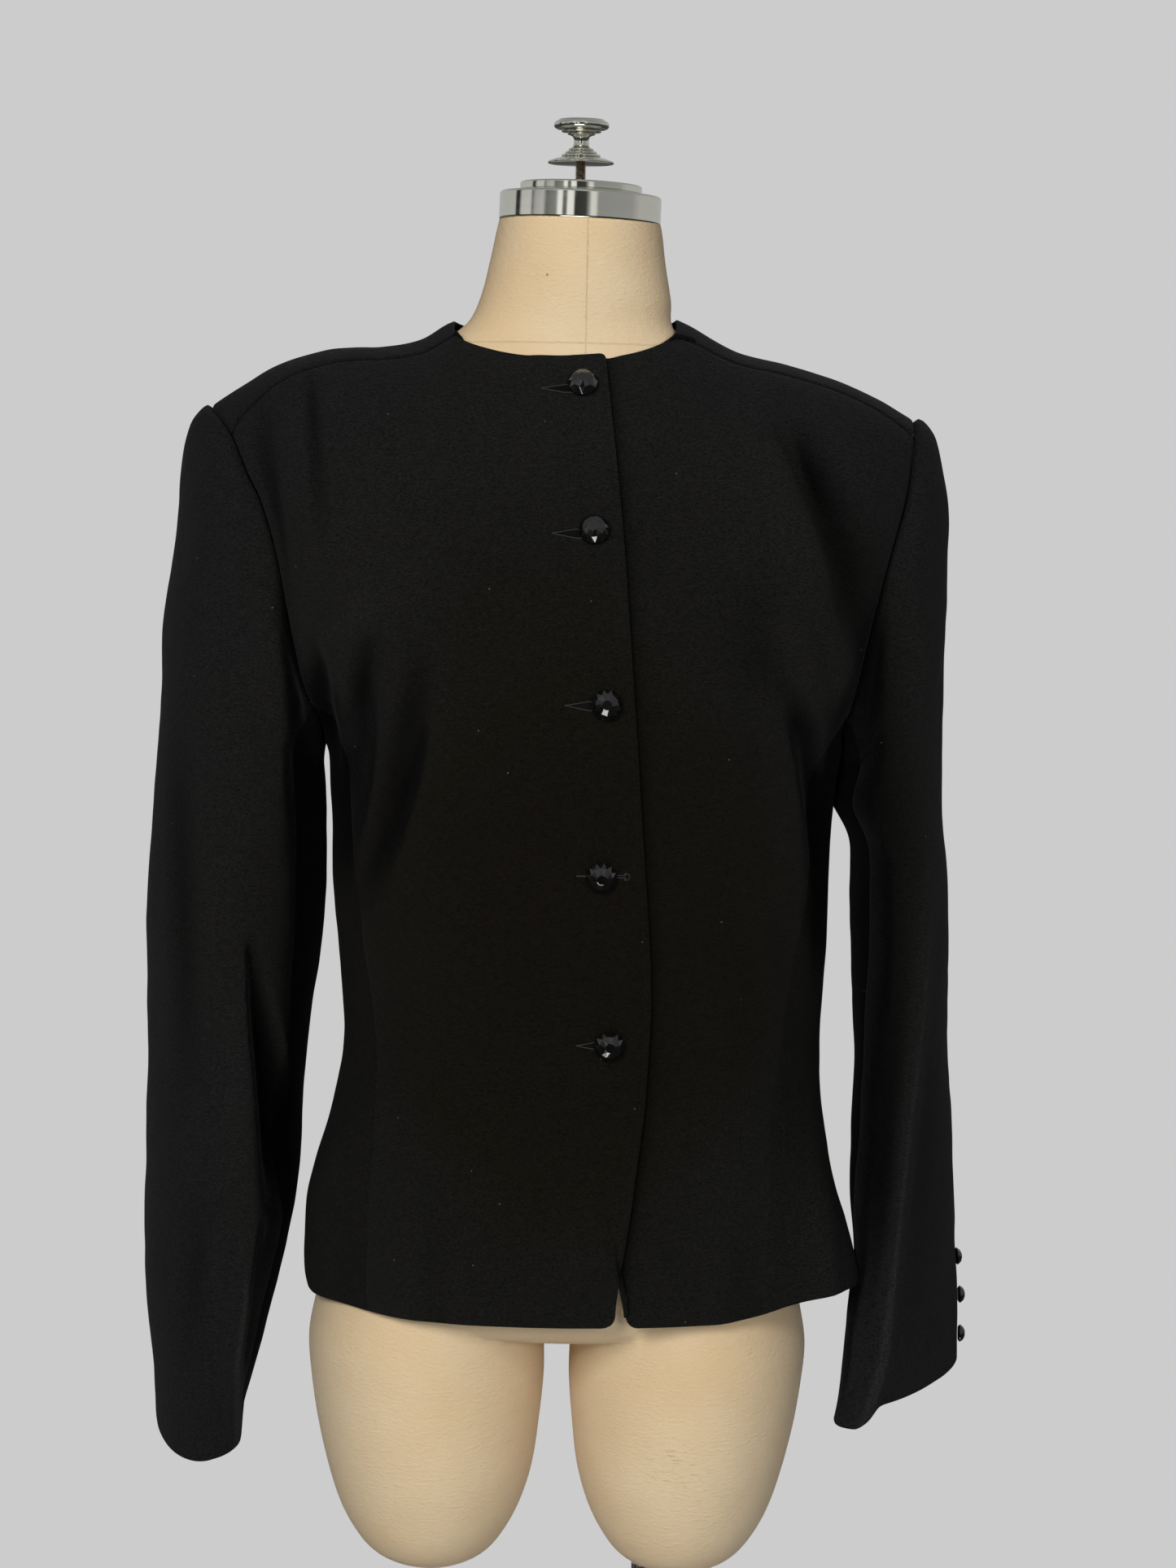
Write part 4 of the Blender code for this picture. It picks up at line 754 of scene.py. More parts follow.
def sleeve_grid(side, part, step):
    """Points of the upper or under piece of a sleeve, from the armhole to the cuff."""
    loop = armhole_loop(side)
    loop = np.vstack([loop, loop[:1]])
    along = lengths_along(loop)
    lowest = along[np.argmin(loop[:, 2])]
    seams = [np.interp(a, [0, 180, 360], [0, lowest, along[-1]])
             for a in (FRONT_SEAM_ANGLE, BACK_SEAM_ANGLE)]
    first, last = seams if part == "under" else (seams[1], seams[0] + along[-1])
    at = between(first, last, spaced(last - first, step)) % along[-1]
    start = np.stack([np.interp(at, along, loop[:, k]) for k in range(3)], axis=1)
    angle = np.interp(at, [0, lowest, along[-1]], [0, 180, 360])

    t = spaced(CAP_LENGTH, step, last=False)[:-1, None]
    down = (1 - np.cos(np.radians(angle))) / 2
    z = between(start[:, 2], CAP_END_Z, t)
    ring = sleeve_ring(side, angle, z)
    share = np.minimum(t / 0.5, 1.0) ** (0.3 + 0.7 * down)
    cap = between(start, ring, share[..., None])
    cap[..., 2] = z

    share = spaced(CAP_END_Z - CUFF_Z[side], step, first=False)[:, None]
    turned = angle + (read(CUFF_TWIST, "cuff", angle) - angle) * eased(share)
    arm = sleeve_ring(side, turned, between(CAP_END_Z, cuff_z(side, turned), share))
    return soften_rows(np.vstack([cap, arm]))


def creased(points, normals, creases, facing, wrap=CREASE_WRAP):
    """How far listed creases lift points, seen along Y: facing is -1 in front, +1 behind."""
    total = np.zeros(len(points))
    shown = eased((normals[:, 1] * facing + wrap) / 0.4)
    for rows in creases.values():
        rows = np.array(rows) / 1000
        along = lengths_along(rows[:, :2])
        keyed = chart("at x z height left right", np.column_stack([along, rows]).tolist())
        at = np.linspace(0, along[-1], 28)
        line = {name: read(keyed, name, at) for name in ("x", "z", "height", "left", "right")}
        reach = max(line["left"].max(), line["right"].max())
        near = ((points[:, 0] > line["x"].min() - reach) & (points[:, 0] < line["x"].max() + reach)
                & (points[:, 2] > line["z"].min() - reach) & (points[:, 2] < line["z"].max() + reach)
                & (shown > 0))
        px, pz = points[near, 0][:, None], points[near, 2][:, None]
        ax, az = line["x"][:-1], line["z"][:-1]
        dx, dz = np.diff(line["x"]), np.diff(line["z"])
        t = np.clip(((px - ax) * dx + (pz - az) * dz) / (dx * dx + dz * dz), 0, 1)
        ox, oz = px - ax - t * dx, pz - az - t * dz
        away = np.hypot(ox, oz)
        best = away.argmin(axis=1)
        pick = np.arange(len(best)), best
        cross = (dx * oz - dz * ox)[pick]
        share = t[pick]

        def value(name):
            return between(line[name][:-1][best], line[name][1:][best], share)
        spread = np.where(cross > 0, value("left"), value("right"))
        total[near] += value("height") * mound(away[pick], spread) * shown[near]
    return total


def near_line(points, line):
    """The distance of each point from a line of points that lie close together."""
    tree = KDTree(len(line))
    for i, place in enumerate(line):
        tree.insert(place, i)
    tree.balance()
    return np.array([tree.find(place)[2] for place in points])


def filled(line, step=0.0012):
    """A line again, with points close together."""
    along = lengths_along(line)
    at = np.linspace(0, along[-1], max(2, math.ceil(along[-1] / step)))
    return np.stack([np.interp(at, along, line[:, k]) for k in range(3)], axis=1)


class Shell:
    """A wall of cloth made from grids of points that share some edges."""

    def __init__(self, name, grids, outward, marks):
        points = np.concatenate([grid.reshape(-1, 3) for grid in grids])
        _, first, place = np.unique(np.round(points / 2e-5).astype(np.int64), axis=0,
                                    return_index=True, return_inverse=True)
        self.name = name
        self.points = points[first]
        place = place.ravel()
        self.index, quads, self.flat = [], [], np.zeros((len(first), 2))
        offset = 0
        for grid in grids:
            rows, columns = grid.shape[:2]
            index = place[offset:offset + rows * columns].reshape(rows, columns)
            offset += rows * columns
            self.index.append(index)
            corners = [index[:-1, :-1], index[:-1, 1:], index[1:, 1:], index[1:, :-1]]
            quads.append(np.stack([c.ravel() for c in corners], axis=1))
            self.flat[index.ravel()] = cut_places(grid).reshape(-1, 2)
        self.quads = np.concatenate(quads)
        self.marks = {key: filled(line) for key, line in marks.items()}
        # Painted shade (below nought) and painted highlight (above nought) of each point, for the cloth's
        # colour
        self.painted_shading = np.zeros(len(self.points))
        self.normals = self.find_normals()
        middle = len(self.points) // 2
        if outward(self.points, self.normals)[middle] < 0:
            self.quads = self.quads[:, ::-1]
            self.normals = -self.normals

    def find_normals(self):
        """The outward direction at each point."""
        a, b, c, d = (self.points[self.quads[:, k]] for k in range(4))
        across = np.cross(c - a, d - b)
        total = np.zeros_like(self.points)
        for k in range(4):
            np.add.at(total, self.quads[:, k], across)
        return total / np.maximum(np.linalg.norm(total, axis=1), 1e-12)[:, None]

    def lift(self, height):
        """Moves the points outwards and finds their directions again."""
        self.points = self.points + height[:, None] * self.normals
        self.normals = self.find_normals()

    def roll_seams(self, depth, reach):
        """Sinks the cloth into its seams and paints shade into them; those pressed flat sink less."""
        for key, line in self.marks.items():
            if key.startswith(("seam", "flat")):
                away = near_line(self.points, line)
                share = 1.0 if key.startswith("seam") else 0.2
                sunk = share * depth * np.exp(-(away / reach) ** 2)
                self.lift(-sunk)
                # Painted shade in the sunken seam
                self.painted_shading -= 3 * sunk

    def shade_armhole(self, away):
        """Paints shade into the cloth's colour beside the lower half of an armhole."""
        lower = eased((ARMHOLE_SHADE_TOP - self.points[:, 2]) / 0.1)
        self.painted_shading -= ARMHOLE_SHADE * np.exp(-(away / ARMHOLE_SHADE_REACH) ** 2) * lower

    def shade_hidden(self, towards, high, low):
        """Paints shade into the colour of cloth that faces the gap between arm and body, between two
        heights.
        """
        facing = eased((self.normals[:, 0] * towards - 0.55) / 0.35)
        z = self.points[:, 2]
        self.painted_shading -= HIDDEN_SHADE * facing * eased((high - z) / 0.05) * eased((z - low) / 0.07)

    def build(self, wall, material):
        """Makes the closed wall as an object."""
        count = len(self.points)
        edges = np.concatenate([self.quads[:, [k, (k + 1) % 4]] for k in range(4)])
        codes = edges[:, 0] * count + edges[:, 1]
        edges = edges[~np.isin(codes, edges[:, 1] * count + edges[:, 0])]
        start, end = edges[:, 0], edges[:, 1]
        along = self.points[end] - self.points[start]
        tangent = np.zeros_like(self.points)
        np.add.at(tangent, start, along)
        np.add.at(tangent, end, along)
        rim = np.unique(start)
        out = np.cross(tangent[rim], self.normals[rim])
        out /= np.maximum(np.linalg.norm(out, axis=1), 1e-12)[:, None]
        where = np.full(count, -1)
        where[rim] = np.arange(len(rim))
        inner = self.points - wall * self.normals
        layers = [self.points, inner]
        rings = [np.arange(count)]
        for bend in (0.25, 0.5, 0.75):
            turn = math.pi * bend
            bulge = out * (math.sin(turn) * wall * 0.5)
            sunk = self.normals[rim] * (1 - math.cos(turn)) * wall * 0.5
            layers.append(self.points[rim] + bulge - sunk)
            rings.append(where + 2 * count + len(rim) * (len(rings) - 1))
        rings.append(np.arange(count) + count)
        faces = [self.quads, self.quads[:, ::-1] + count]
        for near, far in zip(rings, rings[1:]):
            faces.append(np.stack([near[end], near[start], far[start], far[end]], axis=1))
        places, faces = np.concatenate(layers), np.concatenate(faces)
        flat = np.concatenate([self.flat, self.flat] + [self.flat[rim]] * 3)
        made = mesh_object(self.name, places.tolist(), faces.tolist(), material)
        uv = made.data.uv_layers.new(name="cut")
        uv.data.foreach_set("uv", flat[faces.ravel()].ravel())
        # The painted shade and highlights go to the material as a point attribute
        painted_shading = made.data.attributes.new("painted_shading", "FLOAT", "POINT")
        painted_shading.data.foreach_set("value", np.concatenate([self.painted_shading, self.painted_shading] + [self.painted_shading[rim]] * 3))
        SHELLS[self.name] = self
        return made


def cut_places(grid):
    """Each point's place on the flat cut: distance along its row and up its column, in metres."""
    across = np.linalg.norm(np.diff(grid, axis=1), axis=2)
    up = np.linalg.norm(np.diff(grid, axis=0), axis=2)
    u = np.hstack([np.zeros((len(grid), 1)), np.cumsum(across, axis=1)])
    v = np.vstack([np.zeros((1, grid.shape[1])), np.cumsum(up, axis=0)])
    return np.stack([u - u[:, u.shape[1] // 2:u.shape[1] // 2 + 1], v], axis=-1)


def mesh_object(name, places, faces, material, smooth=True):
    """A mesh as a linked object with one material."""
    data = bpy.data.meshes.new(name)
    data.from_pydata(places, [], faces)
    data.validate()
    if smooth:
        data.shade_smooth()
    else:
        data.shade_flat()
    data.materials.append(material)
    made = bpy.data.objects.new(name, data)
    bpy.context.scene.collection.objects.link(made)
    return made


def unevenness(points, size, height):
    """Low unevenness of the cloth, from smooth noise."""
    return height * np.array([noise.noise(Vector(place) / size) for place in points])


def away_from_middle(points, normals):
    """Whether normals point away from the form's upright axis."""
    return (points[:, 0] * normals[:, 0] + points[:, 1] * normals[:, 1]
            + np.maximum(points[:, 2] - FOOT_Z, 0) * normals[:, 2])


def away_from_arm(side):
    """A test of whether normals point away from the middle of a sleeve."""
    def outward(points, normals):
        middle = sign_of(side) * ARM_X
        return (points[:, 0] - middle) * normals[:, 0] + points[:, 1] * normals[:, 1]
    return outward


def lap_lift(side, points):
    """How far the lapped stretch of a front is raised, or sunk if it is the under one."""
    x, z = points[:, 0], points[:, 2]
    if side == "right":
        return LAP_RISE * eased((x - read(FRONT_EDGE, "under", z)) / 0.012 + 1.2)
    return -LAP_RISE * eased((read(FRONT_EDGE, "upper", z) - x) / 0.01 + 1.2)


def shape_torso(shell, settings):
    """Draws the torso's creases into a shell and paints shade and highlights into its colour; the creases
    fade out at the armholes.
    """
    armholes = [filled(armhole_loop(side), 0.003) for side in SIDES]
    away = np.min([near_line(shell.points, line) for line in armholes], axis=0)
    lifted = creased(shell.points, shell.normals, FRONT_CREASES, -1)
    lifted += creased(shell.points, shell.normals, BACK_CREASES, 1)
    lifted *= settings.crease_strength * eased(away / CREASE_FADE)
    # Painted shade in the creases' troughs and painted highlight on their ridges, with the painted shades
    # of TORSO_SHADES
    shell.painted_shading = lifted + creased(shell.points, shell.normals, TORSO_SHADES, -1, SHADE_WRAP)
    shell.shade_armhole(away)
    rough = unevenness(shell.points, 0.045, 0.0012) + unevenness(shell.points, 0.016, 0.0003)
    shell.lift(lifted + rough * eased(away / CREASE_FADE))
    shell.roll_seams(settings.seam_depth, settings.seam_reach)
    low = np.where(shell.points[:, 0] < 0, LIT_BELOW["right"], LIT_BELOW["left"])
    shell.shade_hidden(np.sign(shell.points[:, 0]), HIDDEN_TORSO_TOP, low)


class Nodes:
    """Short ways to add nodes to one tree."""

    def __init__(self, tree):
        self.tree = tree

    def feed(self, socket, value):
        """Sets a socket, or links it to the socket that feeds it."""
        if isinstance(value, bpy.types.NodeSocket):
            self.tree.links.new(value, socket)
        else:
            socket.default_value = value

    def add(self, kind, inputs=None, output=0, **settings):
        """Adds a node and gives one of its outputs; an input is a value or another node's output."""
        made = self.tree.nodes.new("ShaderNode" + kind)
        for key, value in settings.items():
            setattr(made, key, value)
        for key, value in (inputs or {}).items():
            self.feed(made.inputs[key], value)
        return made.outputs[output]

    def math(self, operation, a, b=0.0, clamp=False):
        """The result of a step of arithmetic."""
        return self.add("Math", {0: a, 1: b}, operation=operation, use_clamp=clamp)

    def times(self, a, b):
        """A product."""
        return self.math("MULTIPLY", a, b)

    def plus(self, a, b):
        """A sum."""
        return self.math("ADD", a, b)

    def ramp(self, factor, stops):
        """A colour ramp; its stops are pairs of place and grey or colour."""
        colour = self.add("ValToRGB", {"Fac": factor})
        elements = colour.node.color_ramp.elements
        while len(elements) < len(stops):
            elements.new(0.5)
        for element, (place, tone) in zip(elements, stops):
            element.position = place
            element.color = (*tone, 1) if hasattr(tone, "__len__") else (tone, tone, tone, 1)
        return colour

    def noise(self, place, scale, detail, rough):
        """Smooth noise; a scale of three numbers stretches it along the axes."""
        if hasattr(scale, "__len__"):
            place = self.add("Mapping", {"Vector": place, "Scale": scale})
            scale = 1.0
        return self.add("TexNoise", {"Vector": place, "Scale": scale, "Detail": detail,
                                     "Roughness": rough})

    def waves(self, place, scale, distortion, direction, **detail):
        """Even bands across one direction."""
        inputs = {"Vector": place, "Scale": scale, "Distortion": distortion}
        inputs.update({key.replace("_", " "): value for key, value in detail.items()})
        return self.add("TexWave", inputs, "Fac", wave_type="BANDS", bands_direction=direction)

    def distance(self, place, point, stretch=(1, 1, 1)):
        """How far a place is from a point, once it is stretched along its axes."""
        place = self.add("Mapping", {"Vector": place, "Scale": stretch})
        return self.add("VectorMath", {0: place, 1: point}, "Value", operation="DISTANCE")

    def mixed(self, factor, first, second, blend="MIX"):
        """A blend of two colours."""
        first, second = (tone if isinstance(tone, bpy.types.NodeSocket) else (*tone[:3], 1)
                         for tone in (first, second))
        return self.add("Mix", {0: factor, 6: first, 7: second}, 2, data_type="RGBA", blend_type=blend)

    def line(self, value, level, half_width):
        """1 on a thin line where a value has one level, and nought beside it."""
        away = self.math("ABSOLUTE", self.math("SUBTRACT", value, level))
        return self.math("SUBTRACT", 1.0, self.math("DIVIDE", away, half_width), clamp=True)


class Finish(Nodes):
    """A new material, with its shader and the place on its object that its textures follow."""

    def __init__(self, name, roughness, metallic=0.0):
        self.material = bpy.data.materials.new(name)
        self.material.use_nodes = True
        super().__init__(self.material.node_tree)
        self.shader = self.tree.nodes["Principled BSDF"]
        self.place = self.add("TexCoord", output="Object")
        self.set({"Roughness": roughness, "Metallic": metallic})

    def set(self, values):
        """Sets or feeds sockets of the shader."""
        for key, value in values.items():
            self.feed(self.shader.inputs[key], value)

    def bump(self, *heights):
        """Chains bumps into the shader, each of a height, a distance in metres and a strength."""
        chained = {}
        for height, distance, strength in heights:
            inputs = {"Height": height, "Distance": distance, "Strength": strength}
            chained = {"Normal": self.add("Bump", inputs | chained)}
        self.set(chained)


def wool_crepe(settings, shaded):
    """Matt black crepe: a pebbled weave, uneven dye, painted sheen and shade, and lint; a shaded copy
    with less sheen goes between arm and body.
    """
    name = "wool_crepe_shaded" if shaded else "wool_crepe"
    if name in bpy.data.materials:
        return bpy.data.materials[name]
    crepe = Finish(name, 0.92)
    place = crepe.place
    cut = crepe.add("UVMap", uv_map="cut")
    pebble = crepe.noise(place, (560, 560, 1150), 3.0, 0.66)
    crinkle = crepe.noise(place, (190, 190, 520), 2.0, 0.6)
    warp = crepe.waves(cut, 380.0, 2.6, "X", Detail=1.5, Detail_Scale=0.9)
    weft = crepe.waves(cut, 420.0, 3.0, "Y", Detail=1.5, Detail_Scale=0.9)
    wash = crepe.noise(place, 7.0, 3.0, 0.5)

    # Painted sheen and shade over an uneven wash of dye: darker and browner round the waist's middle,
    # lighter and bluer far from it
    base = Vector(settings.colour)
    far = crepe.distance(place, (0, 0, 3.53), (5.2, 0, 3.6))
    drift = crepe.plus(crepe.times(far, 0.56), crepe.times(wash, 0.4))
    dye_and_painted_sheen = crepe.ramp(drift, [(at, base * Vector(tint)) for at, tint in (
        (0.36, (0.66, 0.56, 0.42)), (0.5, (0.7, 0.65, 0.47)), (0.64, (0.83, 0.82, 0.78)),
        (0.82, (1.02, 1.02, 0.98)), (1.0, (1.04, 1.04, 1.12)))])
    grain = crepe.ramp(pebble, [(0.36, 0.55), (0.64, 1.45)])
    # Painted shade in creases, seams and between arm and body, and painted highlights on ridges and
    # edges, darken or lighten the colour
    painted_shading = crepe.add("Attribute", output="Fac", attribute_name="painted_shading")
    shading_level = crepe.add("MapRange", {"Value": painted_shading, "From Min": -0.01, "From Max": 0.009})
    shade = crepe.ramp(shading_level, [(0.0, 0.02), (0.21, 0.16), (0.395, 0.66), (0.526, 1.0),
                                (0.763, 1.12), (1.0, 1.85)])
    toned = crepe.mixed(1.0, crepe.mixed(1.0, dye_and_painted_sheen, grain, "MULTIPLY"), shade, "MULTIPLY")

    cells = crepe.add("TexVoronoi", {"Vector": place, "Scale": 62.0}).node.outputs
    close = crepe.math("LESS_THAN", cells["Distance"], 0.03)
    chance = crepe.add("SeparateColor", {"Color": cells["Color"]}, "Red")
    lint = crepe.times(close, crepe.math("GREATER_THAN", chance, 0.62))
    # The shaded copy has less sheen and gloss: painted shade for cloth between arm and body
    crepe.set({"Base Color": crepe.mixed(lint, toned, settings.lint_colour),
               "Roughness": crepe.plus(crepe.times(pebble, 0.16), 0.8),
               "Sheen Weight": 0.008 if shaded else 0.03, "Sheen Roughness": 0.42,
               "Sheen Tint": (0.86, 0.87, 0.92, 1), "Specular IOR Level": 0.03 if shaded else 0.05})
    crepe.bump((crinkle, 0.0012, 0.6), (pebble, 0.0009, 0.9), (crepe.times(warp, weft), 0.0002, 0.5))
    return crepe.material


def plain_thread(name, colour, roughness):
    """Thread with fine twisted ply."""
    thread = Finish(name, roughness)
    ply = thread.waves(thread.place, 900.0, 1.5, "DIAGONAL")
    tone = thread.ramp(ply, [(0.2, Vector(colour) * 0.6), (0.8, Vector(colour) * 1.3)])
    thread.set({"Base Color": tone, "Specular IOR Level": 0.1})
    thread.bump((ply, 0.0002, 0.6))
    return thread.material


def black_glass(settings):
    """Polished black glass with faint wear on the facets."""
    glass = Finish("black_glass", 0.05)
    base = Vector(settings.colour)
    smudge = glass.noise(glass.place, 260.0, 3.0, 0.6)
    glass.set({"Base Color": glass.ramp(smudge, [(0.3, base * 0.7), (0.8, base * 1.5)]),
               "Roughness": glass.ramp(smudge, [(0.35, 0.03), (0.75, 0.11)]),
               "IOR": 1.58, "Coat Weight": 0.5, "Coat Roughness": 0.03})
    glass.bump((smudge, 0.0002, 0.08))
    return glass.material


def cream_jersey(settings):
    """Cream jersey stretched over the form, with seams, a dot and faint scuffs."""
    jersey = Finish("cream_jersey", 0.82)
    place = jersey.place
    x, y, z = jersey.add("SeparateXYZ", {"Vector": place}).node.outputs
    wash = jersey.noise(place, 9.0, 3.0, 0.5)
    cloudy = jersey.noise(place, 34.0, 4.0, 0.6)
    base = Vector(settings.colour)
    warm = Vector((base.x, base.y * 0.93, base.z * 0.84))
    tone = jersey.ramp(wash, [(0.32, warm), (0.66, base * 1.05)])
    tone = jersey.mixed(jersey.ramp(cloudy, [(0.45, 0.0), (0.85, 0.3)]), tone, warm * 0.92)
    knit = jersey.noise(place, (1500, 1500, 700), 2.0, 0.6)
    wrinkle = jersey.noise(place, (210, 210, 520), 3.0, 0.66)

    # The neck's seams, which wander a little
    front = jersey.math("LESS_THAN", y, 0.0)
    above = jersey.math("GREATER_THAN", z, 1.3)
    wander = jersey.times(jersey.math("SUBTRACT", wrinkle, 0.5), 0.0012)
    upright = jersey.line(jersey.plus(x, wander), settings.seam_x, 0.0007)
    upright = jersey.times(jersey.times(upright, front), above)
    level = jersey.line(jersey.plus(z, wander), settings.seam_z, 0.0007)
    seams = jersey.math("MAXIMUM", upright, level)
    tone = jersey.mixed(jersey.times(seams, 0.17), tone, (0.3, 0.2, 0.1))

    spot = jersey.distance(place, (-0.0189, 0, 1.3849), (1, 0, 1))
    dot = jersey.times(jersey.math("LESS_THAN", spot, 0.0009), front)
    tone = jersey.mixed(jersey.times(dot, 0.55), tone, (0.18, 0.06, 0.03))

    far = jersey.distance(place, (0.078, -0.083, 0.652))
    zone = jersey.ramp(jersey.math("DIVIDE", far, 0.03), [(0.35, 1.0), (1.0, 0.0)])
    streak = jersey.noise(place, (90, 90, 620), 3.0, 0.7)
    scuff = jersey.times(jersey.ramp(streak, [(0.56, 0.0), (0.66, 1.0)]), zone)
    tone = jersey.mixed(jersey.times(scuff, 0.4), tone, (0.4, 0.26, 0.13))
    jersey.set({"Base Color": tone, "Sheen Weight": 0.12, "Sheen Roughness": 0.5,
                "Specular IOR Level": 0.25})
    ridge = jersey.times(seams, -1.0)
    jersey.bump((ridge, 0.0006, 0.6), (wrinkle, 0.0012, 0.55), (knit, 0.0005, 0.7))
    return jersey.material


def polished_chrome(settings):
    """Chrome plate with faint polishing haze and finger marks."""
    chrome = Finish("polished_chrome", 0.08, 1.0)
    base = Vector(settings.colour)
    haze = chrome.noise(chrome.place, (30, 30, 160), 4.0, 0.6)
    chrome.set({"Base Color": chrome.ramp(haze, [(0.3, base * 0.92), (0.7, base)]),
                "Roughness": chrome.ramp(haze, [(0.3, 0.035), (0.8, 0.13)])})
    chrome.bump((haze, 0.0002, 0.05))
    return chrome.material


def thread_steel():
    """The screw's thread: older, browner metal with grime in the grooves."""
    steel = Finish("thread_steel", 0.35, 1.0)
    grime = steel.noise(steel.place, 420.0, 3.0, 0.6)
    steel.set({"Base Color": steel.ramp(grime, [(0.3, (0.16, 0.11, 0.07)), (0.75, (0.62, 0.52, 0.4))]),
               "Roughness": steel.ramp(grime, [(0.3, 0.5), (0.8, 0.22)])})
    steel.bump((grime, 0.0003, 0.3))
    return steel.material


def pale_floor(settings):
    """The backdrop's colour with faint specks."""
    pale = Finish("pale_floor", 0.9)
    base = Vector(settings.backdrop)
    speck = pale.noise(pale.place, 40.0, 4.0, 0.6)
    pale.set({"Base Color": pale.ramp(speck, [(0.3, base * 0.99), (0.7, base * 1.04)])})
    pale.bump((speck, 0.001, 0.1))
    return pale.material


def sew(shell, settings, shaded=False):
    """Makes a shell's wall in place of its solid."""
    made = shell.build(settings.wall, wool_crepe(settings, shaded))
    solid = shell.name.removeprefix("crepe_")
    place_piece(made, "wool", solid)


def place_piece(made, slot, *solids):
    """Lets a piece ride on the object in place of its solids; the slot is not used."""
    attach(made, "root")
    if solids:
        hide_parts(*solids)


COLOUR = {"size": 3, "subtype": "COLOR", "min": 0, "max": 1}


class ClothSettings(bpy.types.PropertyGroup):
    """Sizes and colours of the blazer's cloth."""
    colour: FloatVectorProperty(name="Cloth colour", description="Colour of the crepe",
                                default=(0.0104, 0.0103, 0.0098), **COLOUR)
    lint_colour: FloatVectorProperty(name="Lint colour", description="Colour of the specks of lint",
                                     default=(0.1, 0.1, 0.095), **COLOUR)
    thread_colour: FloatVectorProperty(name="Thread colour", description="Colour of the edge stitches",
                                       default=(0.01, 0.01, 0.01), **COLOUR)
    purl_colour: FloatVectorProperty(name="Buttonhole thread", description="Colour of the purl thread",
                                     default=(0.04, 0.039, 0.039), **COLOUR)
    wall: FloatProperty(name="Thickness", description="Thickness of the cloth with its facing",
                        default=0.0018, unit="LENGTH", min=0.0005, max=0.004)
    grid_step: FloatProperty(name="Grid step", description="Distance between the points of a panel",
                             default=0.0028, unit="LENGTH", min=0.001, max=0.01)
    crease_strength: FloatProperty(name="Creases", description="Strength of all the creases",
                                   default=1.05, min=0.0, max=2.0)
    sleeve_head: FloatProperty(name="Sleeve head", description="How far the sleeve heads stand out",
                               default=0.0072, unit="LENGTH", min=0, max=0.02)
    seam_depth: FloatProperty(name="Seam depth", description="How far the cloth sinks into a seam",
                              default=0.0013, unit="LENGTH", min=0, max=0.003)
    seam_reach: FloatProperty(name="Seam reach", description="How far from a seam the cloth rolls",
                              default=0.0014, unit="LENGTH", min=0.0003, max=0.01)
    stitch_pitch: FloatProperty(name="Stitch length", description="Length of an edge stitch and its gap",
                                default=0.0027, unit="LENGTH", min=0.001, max=0.006)
    stitch_inset: FloatProperty(name="Stitch inset", description="Distance of the stitches from the edge",
                                default=0.0024, unit="LENGTH", min=0.001, max=0.01)


class ButtonSettings(bpy.types.PropertyGroup):
    """The glass buttons."""
    colour: FloatVectorProperty(name="Glass colour", description="Colour of the buttons",
                                default=(0.0035, 0.0034, 0.0033), **COLOUR)
    facets: IntProperty(name="Facets", description="Facets round a button", default=12, min=8, max=24)


class FormSettings(bpy.types.PropertyGroup):
    """The dress form's cover."""
    colour: FloatVectorProperty(name="Jersey colour", description="Colour of the cover",
                                default=(0.75, 0.592, 0.384), **COLOUR)
    seam_x: FloatProperty(name="Front seam", description="Place of the neck's upright seam",
                          default=0.0056, unit="LENGTH")
    seam_z: FloatProperty(name="Neck seam", description="Height of the seam at the foot of the neck",
                          default=1.344, unit="LENGTH")


class MetalSettings(bpy.types.PropertyGroup):
    """The chrome of the cap, screw and stand."""
    colour: FloatVectorProperty(name="Chrome colour", description="Colour of the plating",
                                default=(0.8, 0.8, 0.72), **COLOUR)
    cap_lean: FloatProperty(name="Cap lean", description="How far the neck cap leans",
                            default=math.radians(1.4), unit="ROTATION")


class StageSettings(bpy.types.PropertyGroup):
    """The studio."""
    backdrop: FloatVectorProperty(name="Backdrop colour", description="Colour behind the object",
                                  default=(0.604, 0.604, 0.604), **COLOUR)
    lens: FloatProperty(name="Lens", description="Focal length of the camera",
                        default=78.46, unit="CAMERA", min=10, max=300)
    distance: FloatProperty(name="Distance", description="How far in front of the form the camera is",
                            default=2.15, unit="LENGTH", min=0.5, max=10)
    tilt: FloatProperty(name="Tilt", description="How far down the camera looks",
                        default=math.radians(5.5), unit="ROTATION")
    roll: FloatProperty(name="Roll", description="How far the camera leans",
                        default=math.radians(1.2), unit="ROTATION")
    room: FloatProperty(name="Room", description="Strength of the light from the room",
                        default=0.2, min=0, max=10)
    light: FloatProperty(name="Light", description="Strength of the soft lights",
                         default=1.0, min=0, max=10)


